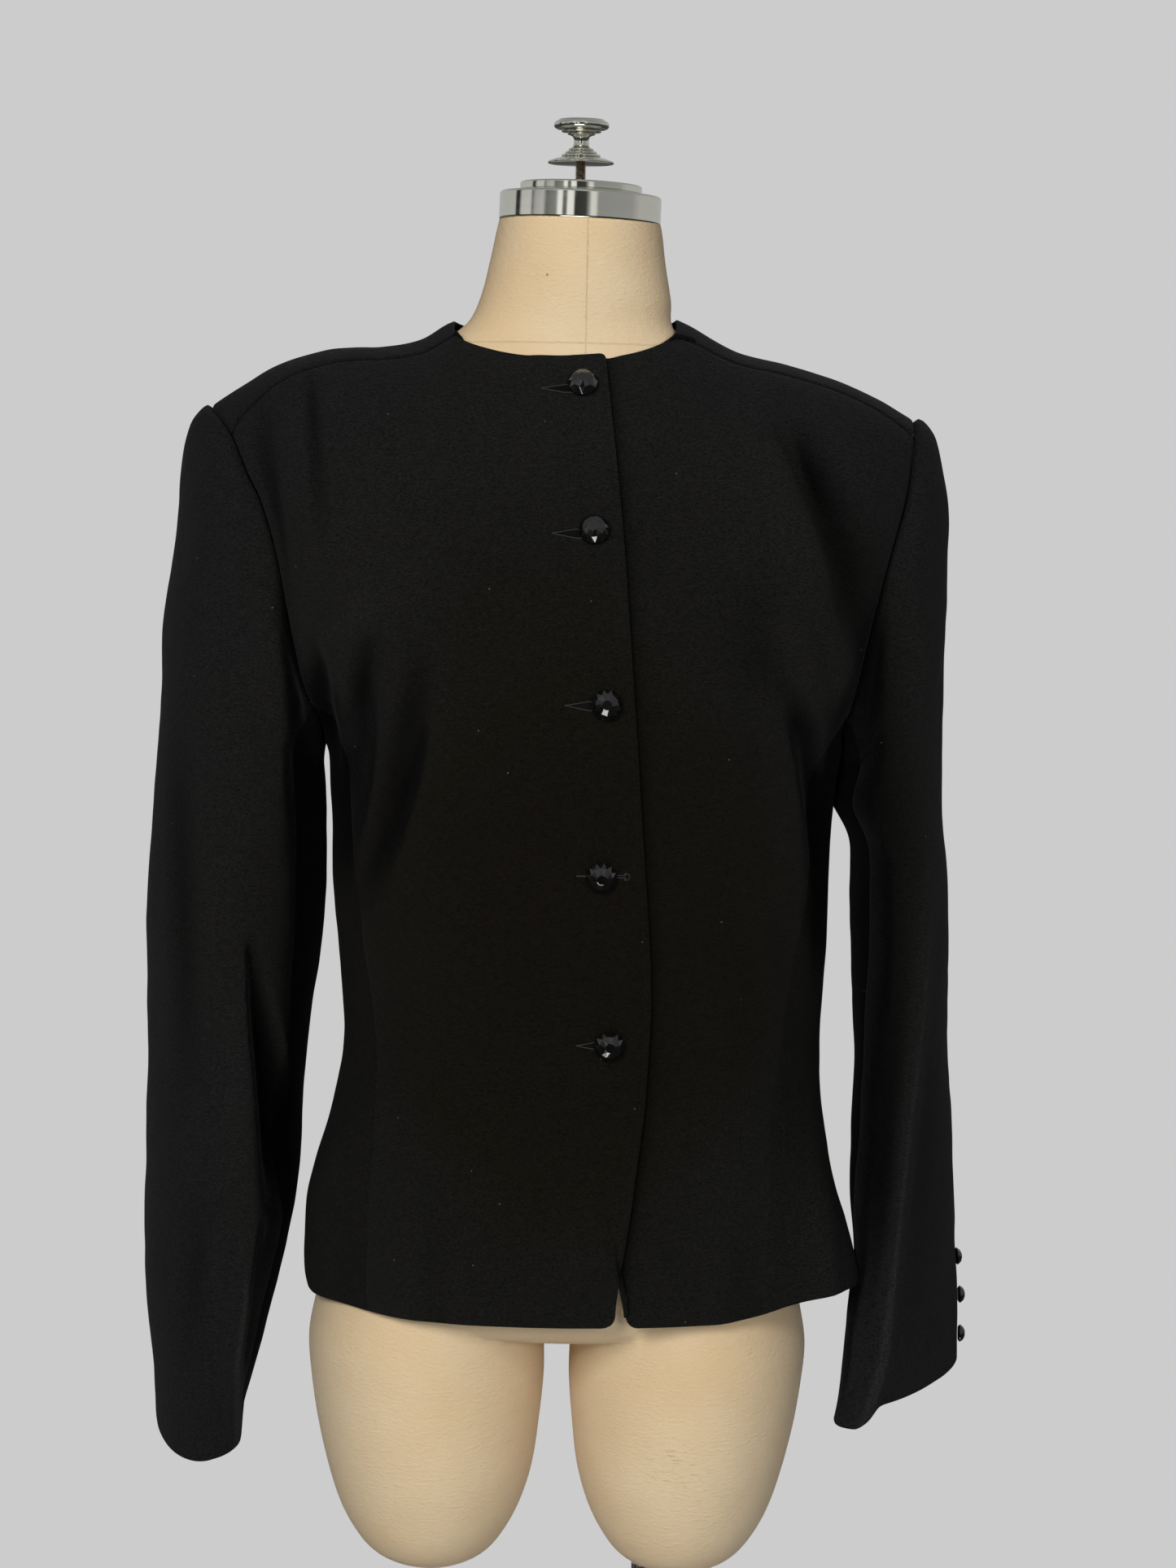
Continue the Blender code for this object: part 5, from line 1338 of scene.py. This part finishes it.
class BLAZER_OT_fronts(bpy.types.Operator):
    """Make the two fronts"""
    bl_idname = "blazer.fronts"
    bl_label = "Fronts"

    def execute(self, context):
        settings = context.scene.blazer_cloth
        for side in SIDES:
            grid = front_grid(side, settings.grid_step)
            foot = int(np.searchsorted(grid[:, 0, 2], FOOT_Z))
            top = grid[-1, np.abs(grid[-1, :, 0]) >= NECK_POINT[side] - 0.001]
            marks = {"flat_side": grid[:foot + 1, 0], "seam_armhole": grid[foot:, 0],
                     "seam_shoulder": top, "edge": grid[:, -1]}
            shell = Shell(f"crepe_front_{side}", [grid], away_from_middle, marks)
            shell.lift(lap_lift(side, shell.points))
            shape_torso(shell, settings)
            # Painted shadow of the lapped front on the under front; painted highlight along the lapped
            # front's edge
            if side == "left":
                past = shell.points[:, 0] - read(FRONT_EDGE, "upper", shell.points[:, 2])
                shell.painted_shading -= LAP_SHADE * np.exp(-np.abs(past) / LAP_SHADE_REACH)
            else:
                away = near_line(shell.points, shell.marks["edge"])
                shell.painted_shading += EDGE_LIGHT * np.exp(-(away / EDGE_LIGHT_REACH) ** 2)
            sew(shell, settings)
        return {"FINISHED"}


class BLAZER_OT_sides(bpy.types.Operator):
    """Make the panels under the arms"""
    bl_idname = "blazer.sides"
    bl_label = "Side panels"

    def execute(self, context):
        settings = context.scene.blazer_cloth
        for side in SIDES:
            grid = side_grid(side, settings.grid_step)
            marks = {"flat_front": grid[:, 0], "flat_back": grid[:, -1], "seam_armhole": grid[-1]}
            shell = Shell(f"crepe_side_{side}", [grid], away_from_middle, marks)
            shape_torso(shell, settings)
            sew(shell, settings, shaded=True)
        return {"FINISHED"}


class BLAZER_OT_back(bpy.types.Operator):
    """Make the back with its shoulder flaps"""
    bl_idname = "blazer.back"
    bl_label = "Back"

    def execute(self, context):
        settings = context.scene.blazer_cloth
        grids = back_grids(settings.grid_step)
        body, flap_right, flap_left = grids
        foot = int(np.searchsorted(body[:, 0, 2], FOOT_Z))
        marks = {"flat_right": body[:foot + 1, 0], "flat_left": body[:foot + 1, -1],
                 "seam_armhole_right": body[foot:, 0], "seam_armhole_left": body[foot:, -1],
                 "seam_shoulder_right": flap_right[-1], "seam_shoulder_left": flap_left[-1],
                 "seam_tip_right": flap_right[:, 0], "seam_tip_left": flap_left[:, -1]}
        shell = Shell("crepe_back", grids, away_from_middle, marks)
        shape_torso(shell, settings)
        sew(shell, settings)
        return {"FINISHED"}


class BLAZER_OT_sleeves(bpy.types.Operator):
    """Make the upper and under piece of each sleeve"""
    bl_idname = "blazer.sleeves"
    bl_label = "Sleeves"

    def execute(self, context):
        settings = context.scene.blazer_cloth
        for side in SIDES:
            for part in ("upper", "under"):
                grid = sleeve_grid(side, part, settings.grid_step)
                marks = {"seam_armhole": grid[0], "flat_front": grid[:, 0], "flat_back": grid[:, -1]}
                shell = Shell(f"crepe_sleeve_{part}_{side}", [grid], away_from_arm(side), marks)
                points, normals = shell.points, shell.normals
                away = near_line(points, shell.marks["seam_armhole"])
                lifted = creased(points, normals, SLEEVE_CREASES[side, "front"], -1)
                lifted += creased(points, normals, SLEEVE_CREASES[side, "back"], 1)
                lifted *= settings.crease_strength
                # Painted shade in the creases' troughs, painted highlight on their ridges, and the
                # painted shades and highlights of SLEEVE_SHADES
                shell.painted_shading = (lifted * eased(away / CREASE_FADE)
                              + creased(points, normals, SLEEVE_SHADES[side], -1, SHADE_WRAP))
                shell.shade_armhole(away)
                lifted += unevenness(points, 0.04, 0.0012) + unevenness(points, 0.015, 0.0003)
                rise = 1 - (1 - np.minimum(away / HEAD_RISE, 1.0)) ** 2
                outwards = eased(normals[:, 0] * sign_of(side) / 0.5 + 0.3)
                kept = 1 - eased((away - HEAD_FLAT) / HEAD_FALL)
                ease = (settings.sleeve_head * rise * kept * outwards
                        * eased((points[:, 2] - HEAD_FOOT_Z) / 0.07))
                shell.lift(lifted * eased(away / CREASE_FADE) + ease)
                shell.roll_seams(settings.seam_depth, settings.seam_reach)
                shell.shade_hidden(-sign_of(side), HIDDEN_SLEEVE_TOP, HIDDEN_SLEEVE_LOW)
                sew(shell, settings, part == "under")
        return {"FINISHED"}


def ring_faces(start, rings, count):
    """Faces between rings of points that follow one another, with flat ends."""
    faces = []
    for r in range(rings - 1):
        for i in range(count):
            a, b = start + r * count + i, start + r * count + (i + 1) % count
            faces.append((a, b, b + count, a + count))
    last = start + (rings - 1) * count
    return faces + [tuple(range(start, start + count))[::-1], tuple(range(last, last + count))]


def tube_mesh(lines, radius, sides, places, faces):
    """Adds closed-ended tubes along lines of points to lists of places and faces."""
    for line in lines:
        line = np.asarray(line)
        ahead = np.gradient(line, axis=0)
        ahead /= np.linalg.norm(ahead, axis=1)[:, None]
        helper = np.array([0.31, -0.87, 0.38])
        across = np.cross(ahead, helper)
        across /= np.linalg.norm(across, axis=1)[:, None]
        third = np.cross(ahead, across)
        start = len(places)
        for k, point in enumerate(line):
            narrow = 0.55 if k in (0, len(line) - 1) else 1.0
            for j in range(sides):
                turn = 2 * math.pi * j / sides
                offset = across[k] * math.cos(turn) + third[k] * math.sin(turn)
                places.append(tuple(point + offset * radius * narrow))
        faces += ring_faces(start, len(line), sides)


def surface_tree(name):
    """A search tree of a shell's outer surface."""
    shell = SHELLS[name]
    return BVHTree.FromPolygons(shell.points.tolist(), shell.quads.tolist())


def seen_place(tree, x, z, face=-1):
    """The place and outward direction of a surface at a point of the front or back view."""
    place, normal, _, _ = tree.ray_cast(Vector((x, face * 0.6, z)), Vector((0, -face, 0)))
    if place is None:
        raise RuntimeError(f"no cloth at x {x:.3f}, z {z:.3f}")
    return place, normal if normal.y * face > 0 else -normal


class BLAZER_OT_edge_stitches(bpy.types.Operator):
    """Sew the row of stitches beside the front edge"""
    bl_idname = "blazer.edge_stitches"
    bl_label = "Edge stitches"

    def execute(self, context):
        settings = context.scene.blazer_cloth
        shell = SHELLS["crepe_front_right"]
        index = shell.index[0]
        columns = index[:, ::-1]
        row = columns[len(columns) // 2]
        inset = lengths_along(shell.points[row])
        chosen = int(np.argmin(np.abs(inset - settings.stitch_inset)))
        line = shell.points[columns[4:-3, chosen]] + shell.normals[columns[4:-3, chosen]] * THREAD_LIFT
        along = lengths_along(line)
        lines = []
        for start in np.arange(0.001, along[-1] - 0.003, settings.stitch_pitch):
            at = start + np.array([0, 0.18, 0.5, 0.82, 1.0]) * settings.stitch_pitch * 0.72
            stitch = np.stack([np.interp(at, along, line[:, k]) for k in range(3)], axis=1)
            stitch += np.array([-0.0002, 0.0, 0.0001, 0.0, -0.0002])[:, None] * np.array([0, -1, 0])
            lines.append(stitch)
        places, faces = [], []
        tube_mesh(lines, THREAD_RADIUS, 6, places, faces)
        thread = plain_thread("edge_thread", settings.thread_colour, 0.55)
        place_piece(mesh_object("edge_stitches", places, faces, thread), "wool")
        return {"FINISHED"}


# Buttonholes: middle height, left end, right end and half-gap where it opens beside the button
BUTTONHOLES = chart("number z left right gap", [
    (1, 1.3155, -0.0208, 0.009, 0.0023), (2, 1.229, -0.0122, 0.018, 0.0026),
    (3, 1.128, -0.0022, 0.028, 0.0026), (4, 1.0255, 0.0065, 0.0385, 0.0007),
    (5, 0.9205, 0.0085, 0.034, 0.0022)])


class BLAZER_OT_buttonholes(bpy.types.Operator):
    """Work the five keyhole buttonholes"""
    bl_idname = "blazer.buttonholes"
    bl_label = "Buttonholes"

    def execute(self, context):
        settings = context.scene.blazer_cloth
        tree = surface_tree("crepe_front_right")
        purl = plain_thread("purl_thread", settings.purl_colour, 0.5)
        gap_shadow_sheet = plain_thread("gap_shadow", (0.0058, 0.0057, 0.0055), 0.95)
        for i, number in enumerate(BUTTONHOLES["number"]):
            z, left, right, gap = (BUTTONHOLES[key][i] for key in ("z", "left", "right", "gap"))
            eye = 0.0021
            run = np.linspace(0, 1, 40)
            x = between(left, right - eye, run)
            eye_half = eye * 0.86
            narrowed = between(max(gap, eye_half), eye_half, eased((run - 0.6) / 0.4))
            half = np.clip(gap * run / 0.5, 0.0002, np.minimum(gap, narrowed))
            turn = np.radians(np.linspace(120, -120, 14))
            round_x, round_z = right - eye + eye * np.cos(turn), z + eye * np.sin(turn)
            outline = np.concatenate([
                np.column_stack([x, z + half]), np.column_stack([round_x, round_z]),
                np.column_stack([x[::-1], z - half[::-1]])])
            line = []
            for px, pz in outline:
                place, normal = seen_place(tree, px, pz)
                line.append(place + normal * PURL_LIFT)
            ring = filled(np.array(line), PURL_PITCH)
            beat = 1 + 0.16 * np.cos(np.arange(len(ring)) * math.pi)
            places, faces = [], []
            tube_mesh([ring], PURL_RADIUS, 8, places, faces)
            swell = np.repeat(beat, 8)[:, None]
            centre = np.repeat(ring, 8, axis=0)
            places = (centre + (np.array(places) - centre) * swell).tolist()
            place_piece(mesh_object(f"buttonhole_{int(number)}", places, faces, purl), "wool")

            # A dark sheet in each buttonhole's slit: a painted shadow of its opening
            rows = []
            for share in np.linspace(-1, 1, 5):
                row = []
                for px, h in zip(x, half):
                    place, normal = seen_place(tree, px, z + share * h)
                    row.append(place + normal * GAP_LIFT)
                rows.append(row)
            places = [tuple(place) for row in rows for place in row]
            count = len(x)
            faces = [(r * count + k, r * count + k + 1, (r + 1) * count + k + 1, (r + 1) * count + k)
                     for r in range(len(rows) - 1) for k in range(count - 1)]
            gape = mesh_object(f"buttonhole_gap_{int(number)}", places, faces, gap_shadow_sheet)
            place_piece(gape, "wool")
        return {"FINISHED"}


def faceted(name, radius, height, facets, material):
    """A domed glass button cut in rings of triangular facets."""
    rings = ((0.74, 0.0, 0.0), (1.0, 0.26, 0.5), (0.97, 0.42, 0.0), (0.7, 0.8, 0.5),
             (0.32, 1.0, 0.0))
    places, faces = [], []
    for share, up, shift in rings:
        for i in range(facets):
            turn = 2 * math.pi * (i + shift) / facets
            places.append((radius * share * math.cos(turn), radius * share * math.sin(turn),
                           height * up))
    for ring in range(len(rings) - 1):
        ahead = rings[ring][2] > rings[ring + 1][2]
        for i in range(facets):
            j = (i + 1) % facets
            a, b = ring * facets + i, ring * facets + j
            c, d = a + facets, b + facets
            faces += [(a, d, c), (a, b, d)] if ahead else [(a, b, c), (b, d, c)]
    faces.append(tuple(range(facets))[::-1])
    faces.append(tuple(range((len(rings) - 1) * facets, len(rings) * facets)))
    made = mesh_object(name, places, faces, material, smooth=False)
    bevel = made.modifiers.new("facet_edges", "BEVEL")
    bevel.width = radius * 0.018
    bevel.segments = 1
    bevel.limit_method = "ANGLE"
    bevel.angle_limit = math.radians(4)
    return made


class BLAZER_OT_buttons(bpy.types.Operator):
    """Put the glass buttons where the solids have them"""
    bl_idname = "blazer.buttons"
    bl_label = "Buttons"

    def execute(self, context):
        settings = context.scene.blazer_buttons
        glass = black_glass(settings)
        sewn = {f"button_{k}": ("crepe_front_right", BUTTON_RADIUS, BUTTON_HEIGHT)
                for k in range(1, 6)}
        for side in SIDES:
            for k in range(1, 4):
                sewn[f"cuff_button_{side}_{k}"] = (
                    f"crepe_sleeve_upper_{side}", CUFF_BUTTON_RADIUS, CUFF_BUTTON_HEIGHT)
        trees = {name: surface_tree(name) for name, _, _ in sewn.values()}
        for number, (solid, (cloth, radius, height)) in enumerate(sewn.items()):
            low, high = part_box(solid)
            middle = (low + high) / 2
            if solid == "button_1":
                middle = middle - Vector((0, 0, FIRST_BUTTON_DROP))
            place, _, _, _ = trees[cloth].find_nearest(middle)
            outward = (middle - place).normalized()
            made = faceted(f"glass_{solid}", radius, height, settings.facets, glass)
            spin = Matrix.Rotation(BUTTON_SPIN * number, 4, "Z")
            turn = outward.to_track_quat("Z", "Y").to_matrix().to_4x4()
            made.matrix_world = Matrix.Translation(place + outward * SHANK_GAP) @ turn @ spin
            place_piece(made, "button", solid)
        return {"FINISHED"}


def loft(name, rings, material):
    """A closed mesh through rings of points, with flat ends."""
    places = [tuple(point) for ring in rings for point in ring]
    return mesh_object(name, places, ring_faces(0, len(rings), len(rings[0])), material)


class BLAZER_OT_dress_form(bpy.types.Operator):
    """Make the dress form with its jersey cover"""
    bl_idname = "blazer.dress_form"
    bl_label = "Dress form"

    def execute(self, context):
        jersey = cream_jersey(context.scene.blazer_form)
        turn = np.linspace(0, 2 * math.pi, 97)[:-1]
        levels = np.unique(np.concatenate([
            np.arange(FORM["z"][0], 0.78, 0.004), np.arange(0.78, 1.32, 0.02),
            np.arange(1.32, 1.4205, 0.004), [1.4205]]))
        body = loft("jersey_form", [ring_point(turn, np.full_like(turn, z), FORM) for z in levels],
                    jersey)
        low, high = STUMP["z"][0], STUMP["z"][-1]
        heights = low + (high - low) * np.linspace(0, 1, 70) ** 1.5
        for side in SIDES:
            rings = []
            for z in heights:
                middle, wide = read(STUMP, "middle", z), read(STUMP, "wide", z)
                deep = np.where(np.cos(turn) > 0, read(STUMP, "front", z), read(STUMP, "back", z))
                rings.append(joined(sign_of(side) * middle + wide * np.sin(turn),
                                    -deep * np.cos(turn), np.full_like(turn, z)))
            stump = loft(f"stump_{side}", rings, jersey)
            join = body.modifiers.new("join", "BOOLEAN")
            join.operation = "UNION"
            join.solver = "EXACT"
            join.object = stump
            with context.temp_override(object=body, active_object=body):
                bpy.ops.object.modifier_apply(modifier="join")
            bpy.data.objects.remove(stump)
        body.data.shade_smooth()
        place_piece(body, "jersey", "dress_form")
        return {"FINISHED"}


def turned(name, profile, material, place=(0, 0, 0), sides=96, sharp=35):
    """A piece turned about an upright axis from radius and height."""
    turn = np.linspace(0, 2 * math.pi, sides + 1)[:-1]
    places, rings, faces = [], [], []
    for radius, z in profile:
        start = len(places)
        if radius == 0:
            places.append((place[0], place[1], place[2] + z))
            rings.append([start] * sides)
        else:
            places += [(place[0] + radius * math.cos(t), place[1] + radius * math.sin(t), place[2] + z)
                       for t in turn]
            rings.append(list(range(start, start + sides)))
    for low, high in zip(rings, rings[1:]):
        for i in range(sides):
            j = (i + 1) % sides
            corners = dict.fromkeys((low[i], low[j], high[j], high[i]))
            if len(corners) > 2:
                faces.append(tuple(corners))
    made = mesh_object(name, places, faces, material)
    made.data.set_sharp_from_angle(angle=math.radians(sharp))
    return made


def softened(profile, radius, steps=4):
    """A profile whose inner corners are rounded."""
    points = [np.array(p, float) for p in profile]
    made = [points[0]]
    for before, here, after in zip(points, points[1:], points[2:]):
        back, ahead = before - here, after - here
        reach = min(radius, np.linalg.norm(back) * 0.45, np.linalg.norm(ahead) * 0.45)
        start = here + back / np.linalg.norm(back) * reach
        end = here + ahead / np.linalg.norm(ahead) * reach
        for t in np.linspace(0, 1, steps + 1):
            made.append((1 - t) ** 2 * start + 2 * t * (1 - t) * here + t * t * end)
    made.append(points[-1])
    return [(max(float(r), 0.0) if r > 1e-9 else 0, float(z)) for r, z in made]


def bead(radius, low, high, steps=8):
    """The half-round profile of a bead."""
    half = (high - low) / 2
    turn = np.linspace(-math.pi / 2, math.pi / 2, steps + 1)
    return [(radius - half + half * math.cos(t), low + half + half * math.sin(t)) for t in turn]


class BLAZER_OT_stand(bpy.types.Operator):
    """Make the chrome cap, screw, pole and plate"""
    bl_idname = "blazer.stand"
    bl_label = "Stand"

    def execute(self, context):
        settings = context.scene.blazer_metal
        chrome = polished_chrome(settings)
        cap = [(0.0, 1.4208), (0.05, 1.4208), (0.0503, 1.4216), (0.0503, 1.4368), (0.0492, 1.438),
               (0.0379, 1.4381), (0.0379, 1.4388), (0.0374, 1.4392), (0.0379, 1.4396),
               (0.0379, 1.4436), (0.0369, 1.4444), (0.0, 1.4442)]
        screw = ([(0.0, 1.4557), (0.0188, 1.4556)] + bead(0.0206, 1.4557, 1.4573)
                 + [(0.015, 1.459), (0.0124, 1.4595)] + bead(0.0122, 1.4597, 1.4614)
                 + bead(0.0099, 1.4616, 1.4633) + bead(0.0078, 1.4635, 1.4652)
                 + [(0.0058, 1.4656), (0.005, 1.4668), (0.0048, 1.4685), (0.0048, 1.4712),
                    (0.0054, 1.4724), (0.007, 1.4732)] + bead(0.0086, 1.4734, 1.4748)
                 + bead(0.0124, 1.475, 1.4764) + [(0.015, 1.4768)]
                 + bead(0.0173, 1.477, 1.4818) + [(0.014, 1.4829), (0.006, 1.4835), (0.0, 1.4836)])
        pieces = [
            (turned("chrome_cap", softened(cap, 0.0005), chrome), "neck_cap"),
            (turned("chrome_screw", screw, chrome, sharp=42), "neck_screw"),
        ]
        steel = thread_steel()
        places, faces, sides, turns, pitch = [], [], 20, 11, 0.001
        count = sides * turns
        for k in range(count + 1):
            bend = 2 * math.pi * k / sides
            base = 1.4446 + pitch * k / sides
            for radius, up in ((0.0026, 0.0), (0.0034, 0.35), (0.0034, 0.5), (0.0026, 0.85)):
                places.append((radius * math.cos(bend), radius * math.sin(bend), base + up * pitch))
        for k in range(count):
            for j in range(3):
                a = k * 4 + j
                faces.append((a, a + 4, a + 5, a + 1))
        thread = mesh_object("screw_thread", places, faces, steel)
        core = turned("screw_core", [(0.0, 1.4445), (0.0027, 1.4445), (0.0027, 1.456), (0.0, 1.456)],
                      steel, sides=32)
        low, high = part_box("pole")
        middle = (low + high) / 2
        radius = (high.x - low.x) / 2
        pole = [(0.0, low.z), (radius, low.z), (radius, high.z), (0.0, high.z)]
        pieces.append((turned("chrome_pole", softened(pole, 0.0008), chrome, (middle.x, 0, 0)), "pole"))
        low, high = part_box("pole_collar")
        wide = (high.x - low.x) / 2
        collar = [(0.0, low.z), (wide, low.z), (wide, high.z - 0.008), (wide - 0.002, high.z - 0.006),
                  (wide - 0.003, high.z - 0.002), (wide - 0.006, high.z), (0.0, high.z)]
        pieces.append((turned("chrome_collar", softened(collar, 0.001), chrome, (middle.x, 0, 0)),
                       "pole_collar"))
        low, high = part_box("base_plate")
        wide, thick = (high.x - low.x) / 2, high.z
        plate = [(0.0, 0.0), (wide - 0.001, 0.0), (wide, 0.001), (wide, thick - 0.003),
                 (wide - 0.003, thick), (wide - 0.012, thick), (0.0, thick)]
        pieces.append((turned("chrome_plate", softened(plate, 0.0015), chrome, sides=192),
                       "base_plate"))
        middle = Vector((0, 0, 1.421))
        lean = Matrix.Rotation(settings.cap_lean, 4, "Y")
        pieces[0][0].matrix_world = (Matrix.Translation(middle - Vector((0, 0, 0.001))) @ lean
                                     @ Matrix.Translation(-middle))
        for made, *solids in pieces + [(thread,), (core,)]:
            place_piece(made, "chrome", *solids)
        return {"FINISHED"}


# The camera's place across and its height, and the floor's size
EYE_X = 0.0125
EYE_Z = 1.276
FLOOR_RADIUS = 1.6


def soft_light(name, place, aim, size, power, colour=(1, 1, 1)):
    """A large area light that faces a point."""
    data = bpy.data.lights.new(name, "AREA")
    data.shape = "RECTANGLE"
    data.size, data.size_y = size
    data.energy = power
    data.color = colour
    made = bpy.data.objects.new(name, data)
    made.location = place
    made.rotation_euler = (Vector(aim) - Vector(place)).to_track_quat("-Z", "Y").to_euler()
    bpy.context.scene.collection.objects.link(made)
    return made


def studio_world(settings):
    """A plain backdrop for the eye, and a soft room for lights and reflections."""
    world = bpy.data.worlds.new("studio")
    world.use_nodes = True
    world.node_tree.nodes.clear()
    room = Nodes(world.node_tree)
    away = room.add("TexCoord", output="Generated")
    x, y, z = room.add("SeparateXYZ", {"Vector": away}).node.outputs
    azimuth = room.math("ARCTAN2", x, room.times(y, -1.0))
    share = room.plus(room.math("DIVIDE", azimuth, 2 * math.pi), 0.5)
    walls = room.ramp(share, [
        (0.0, 0.58), (0.205, 0.66), (0.215, 0.04), (0.232, 0.05), (0.245, 0.74), (0.292, 0.76),
        (0.3, 0.2), (0.314, 0.55), (0.35, 0.68), (0.362, 0.22), (0.405, 0.34), (0.415, 1.25),
        (0.428, 1.25), (0.434, 0.2), (0.446, 0.22), (0.452, 1.25), (0.474, 1.2), (0.48, 0.05),
        (0.524, 0.07), (0.536, 0.42), (0.546, 1.0), (0.562, 0.95), (0.572, 0.4), (0.72, 0.44),
        (0.76, 0.6), (1.0, 0.58)])
    up = room.ramp(room.plus(room.times(z, 0.5), 0.5), [
        (0.3, 0.1), (0.485, 0.16), (0.495, 1.0), (0.66, 0.86), (0.95, 0.6)])
    high = room.ramp(z, [(0.25, 0.0), (0.6, 1.0)])
    ceiling = room.ramp(share, [(0.3, 0.55), (0.4, 1.05), (0.46, 0.62), (0.54, 0.95), (0.62, 0.58)])
    lit = room.mixed(1.0, room.mixed(high, walls, ceiling), up, "MULTIPLY")
    towards = room.add("VectorMath", {0: away, 1: (-0.12, -0.62, -0.77)}, "Value",
                       operation="DOT_PRODUCT")
    patch = room.ramp(towards, [(0.945, 0.0), (0.965, 1.0)])
    rays = room.add("LightPath").node.outputs
    glossy = rays["Is Glossy Ray"]
    seen = room.mixed(glossy, lit, room.mixed(patch, lit, (9.0, 8.8, 8.4)))
    strength = room.plus(room.times(glossy, 0.8 - settings.room), settings.room)
    light = room.add("Background", {"Color": seen, "Strength": strength})
    plain = room.add("Background", {"Color": (*settings.backdrop, 1), "Strength": 1.0})
    both = room.add("MixShader", {0: rays["Is Camera Ray"], 1: light, 2: plain})
    end = room.tree.nodes.new("ShaderNodeOutputWorld")
    room.feed(end.inputs["Surface"], both)
    bpy.context.scene.world = world


class BLAZER_OT_stage(bpy.types.Operator):
    """Set up the floor, the lights and the camera"""
    bl_idname = "blazer.stage"
    bl_label = "Studio"

    def execute(self, context):
        settings = context.scene.blazer_stage
        turn = np.linspace(0, 2 * math.pi, 129)[:-1]
        rim = [(FLOOR_RADIUS * math.cos(t), FLOOR_RADIUS * math.sin(t), 0.0) for t in turn]
        floor = mesh_object("floor", rim, [tuple(range(len(rim)))], pale_floor(settings))
        floor.visible_glossy = False

        studio_world(settings)
        aim = (0, 0, 1.05)
        lamps = [
            soft_light("window", (-0.9, -3.0, 2.3), aim, (0.9, 0.9), 68 * settings.light,
                       (1, 0.99, 0.97)),
            soft_light("fill", (0.9, -3.1, 1.5), aim, (0.9, 0.9), 33 * settings.light,
                       (0.97, 0.98, 1)),
            soft_light("behind", (0.6, 2.6, 2.0), aim, (1.6, 1.4), 26 * settings.light)]
        for lamp in lamps:
            lamp.visible_glossy = False

        eye = bpy.data.cameras.new("camera")
        eye.lens = settings.lens
        eye.sensor_width = 36
        eye.clip_start = 0.05
        camera = bpy.data.objects.new("camera", eye)
        down = Matrix.Rotation(math.pi / 2 - settings.tilt, 4, "X")
        lean = Matrix.Rotation(settings.roll, 4, "Z")
        place = Matrix.Translation((EYE_X, -settings.distance, EYE_Z))
        camera.matrix_world = place @ down @ lean
        context.scene.collection.objects.link(camera)
        context.scene.camera = camera
        context.scene.view_settings.view_transform = "Standard"
        return {"FINISHED"}


OPERATORS = (
    BLAZER_OT_fronts, BLAZER_OT_sides, BLAZER_OT_back, BLAZER_OT_sleeves, BLAZER_OT_edge_stitches,
    BLAZER_OT_buttonholes, BLAZER_OT_buttons, BLAZER_OT_dress_form, BLAZER_OT_stand, BLAZER_OT_stage)


class BLAZER_PT_sidebar(bpy.types.Panel):
    """Settings and steps of the blazer"""
    bl_idname = "BLAZER_PT_sidebar"
    bl_label = "Blazer"
    bl_space_type = "VIEW_3D"
    bl_region_type = "UI"
    bl_category = "Blazer"

    def draw(self, context):
        layout = self.layout
        for name in SETTINGS:
            group = getattr(context.scene, name)
            box = layout.box()
            for key in group.__annotations__:
                box.prop(group, key)
        for operator in OPERATORS:
            layout.operator(operator.bl_idname)


SETTINGS = {
    "blazer_cloth": ClothSettings,
    "blazer_buttons": ButtonSettings,
    "blazer_form": FormSettings,
    "blazer_metal": MetalSettings,
    "blazer_stage": StageSettings,
}


def register():
    """Registers the settings, the operators and the sidebar."""
    for group in SETTINGS.values():
        bpy.utils.register_class(group)
    for operator in OPERATORS:
        bpy.utils.register_class(operator)
    bpy.utils.register_class(BLAZER_PT_sidebar)
    for name, group in SETTINGS.items():
        setattr(bpy.types.Scene, name, PointerProperty(type=group))


def unregister():
    """Takes everything out again."""
    for name in SETTINGS:
        delattr(bpy.types.Scene, name)
    bpy.utils.unregister_class(BLAZER_PT_sidebar)
    for operator in reversed(OPERATORS):
        bpy.utils.unregister_class(operator)
    for group in SETTINGS.values():
        bpy.utils.unregister_class(group)


def main():
    """Makes every piece in order."""
    register()
    for operator in OPERATORS:
        group, name = operator.bl_idname.split(".")
        getattr(getattr(bpy.ops, group), name)()


if __name__ == "__main__":
    main()
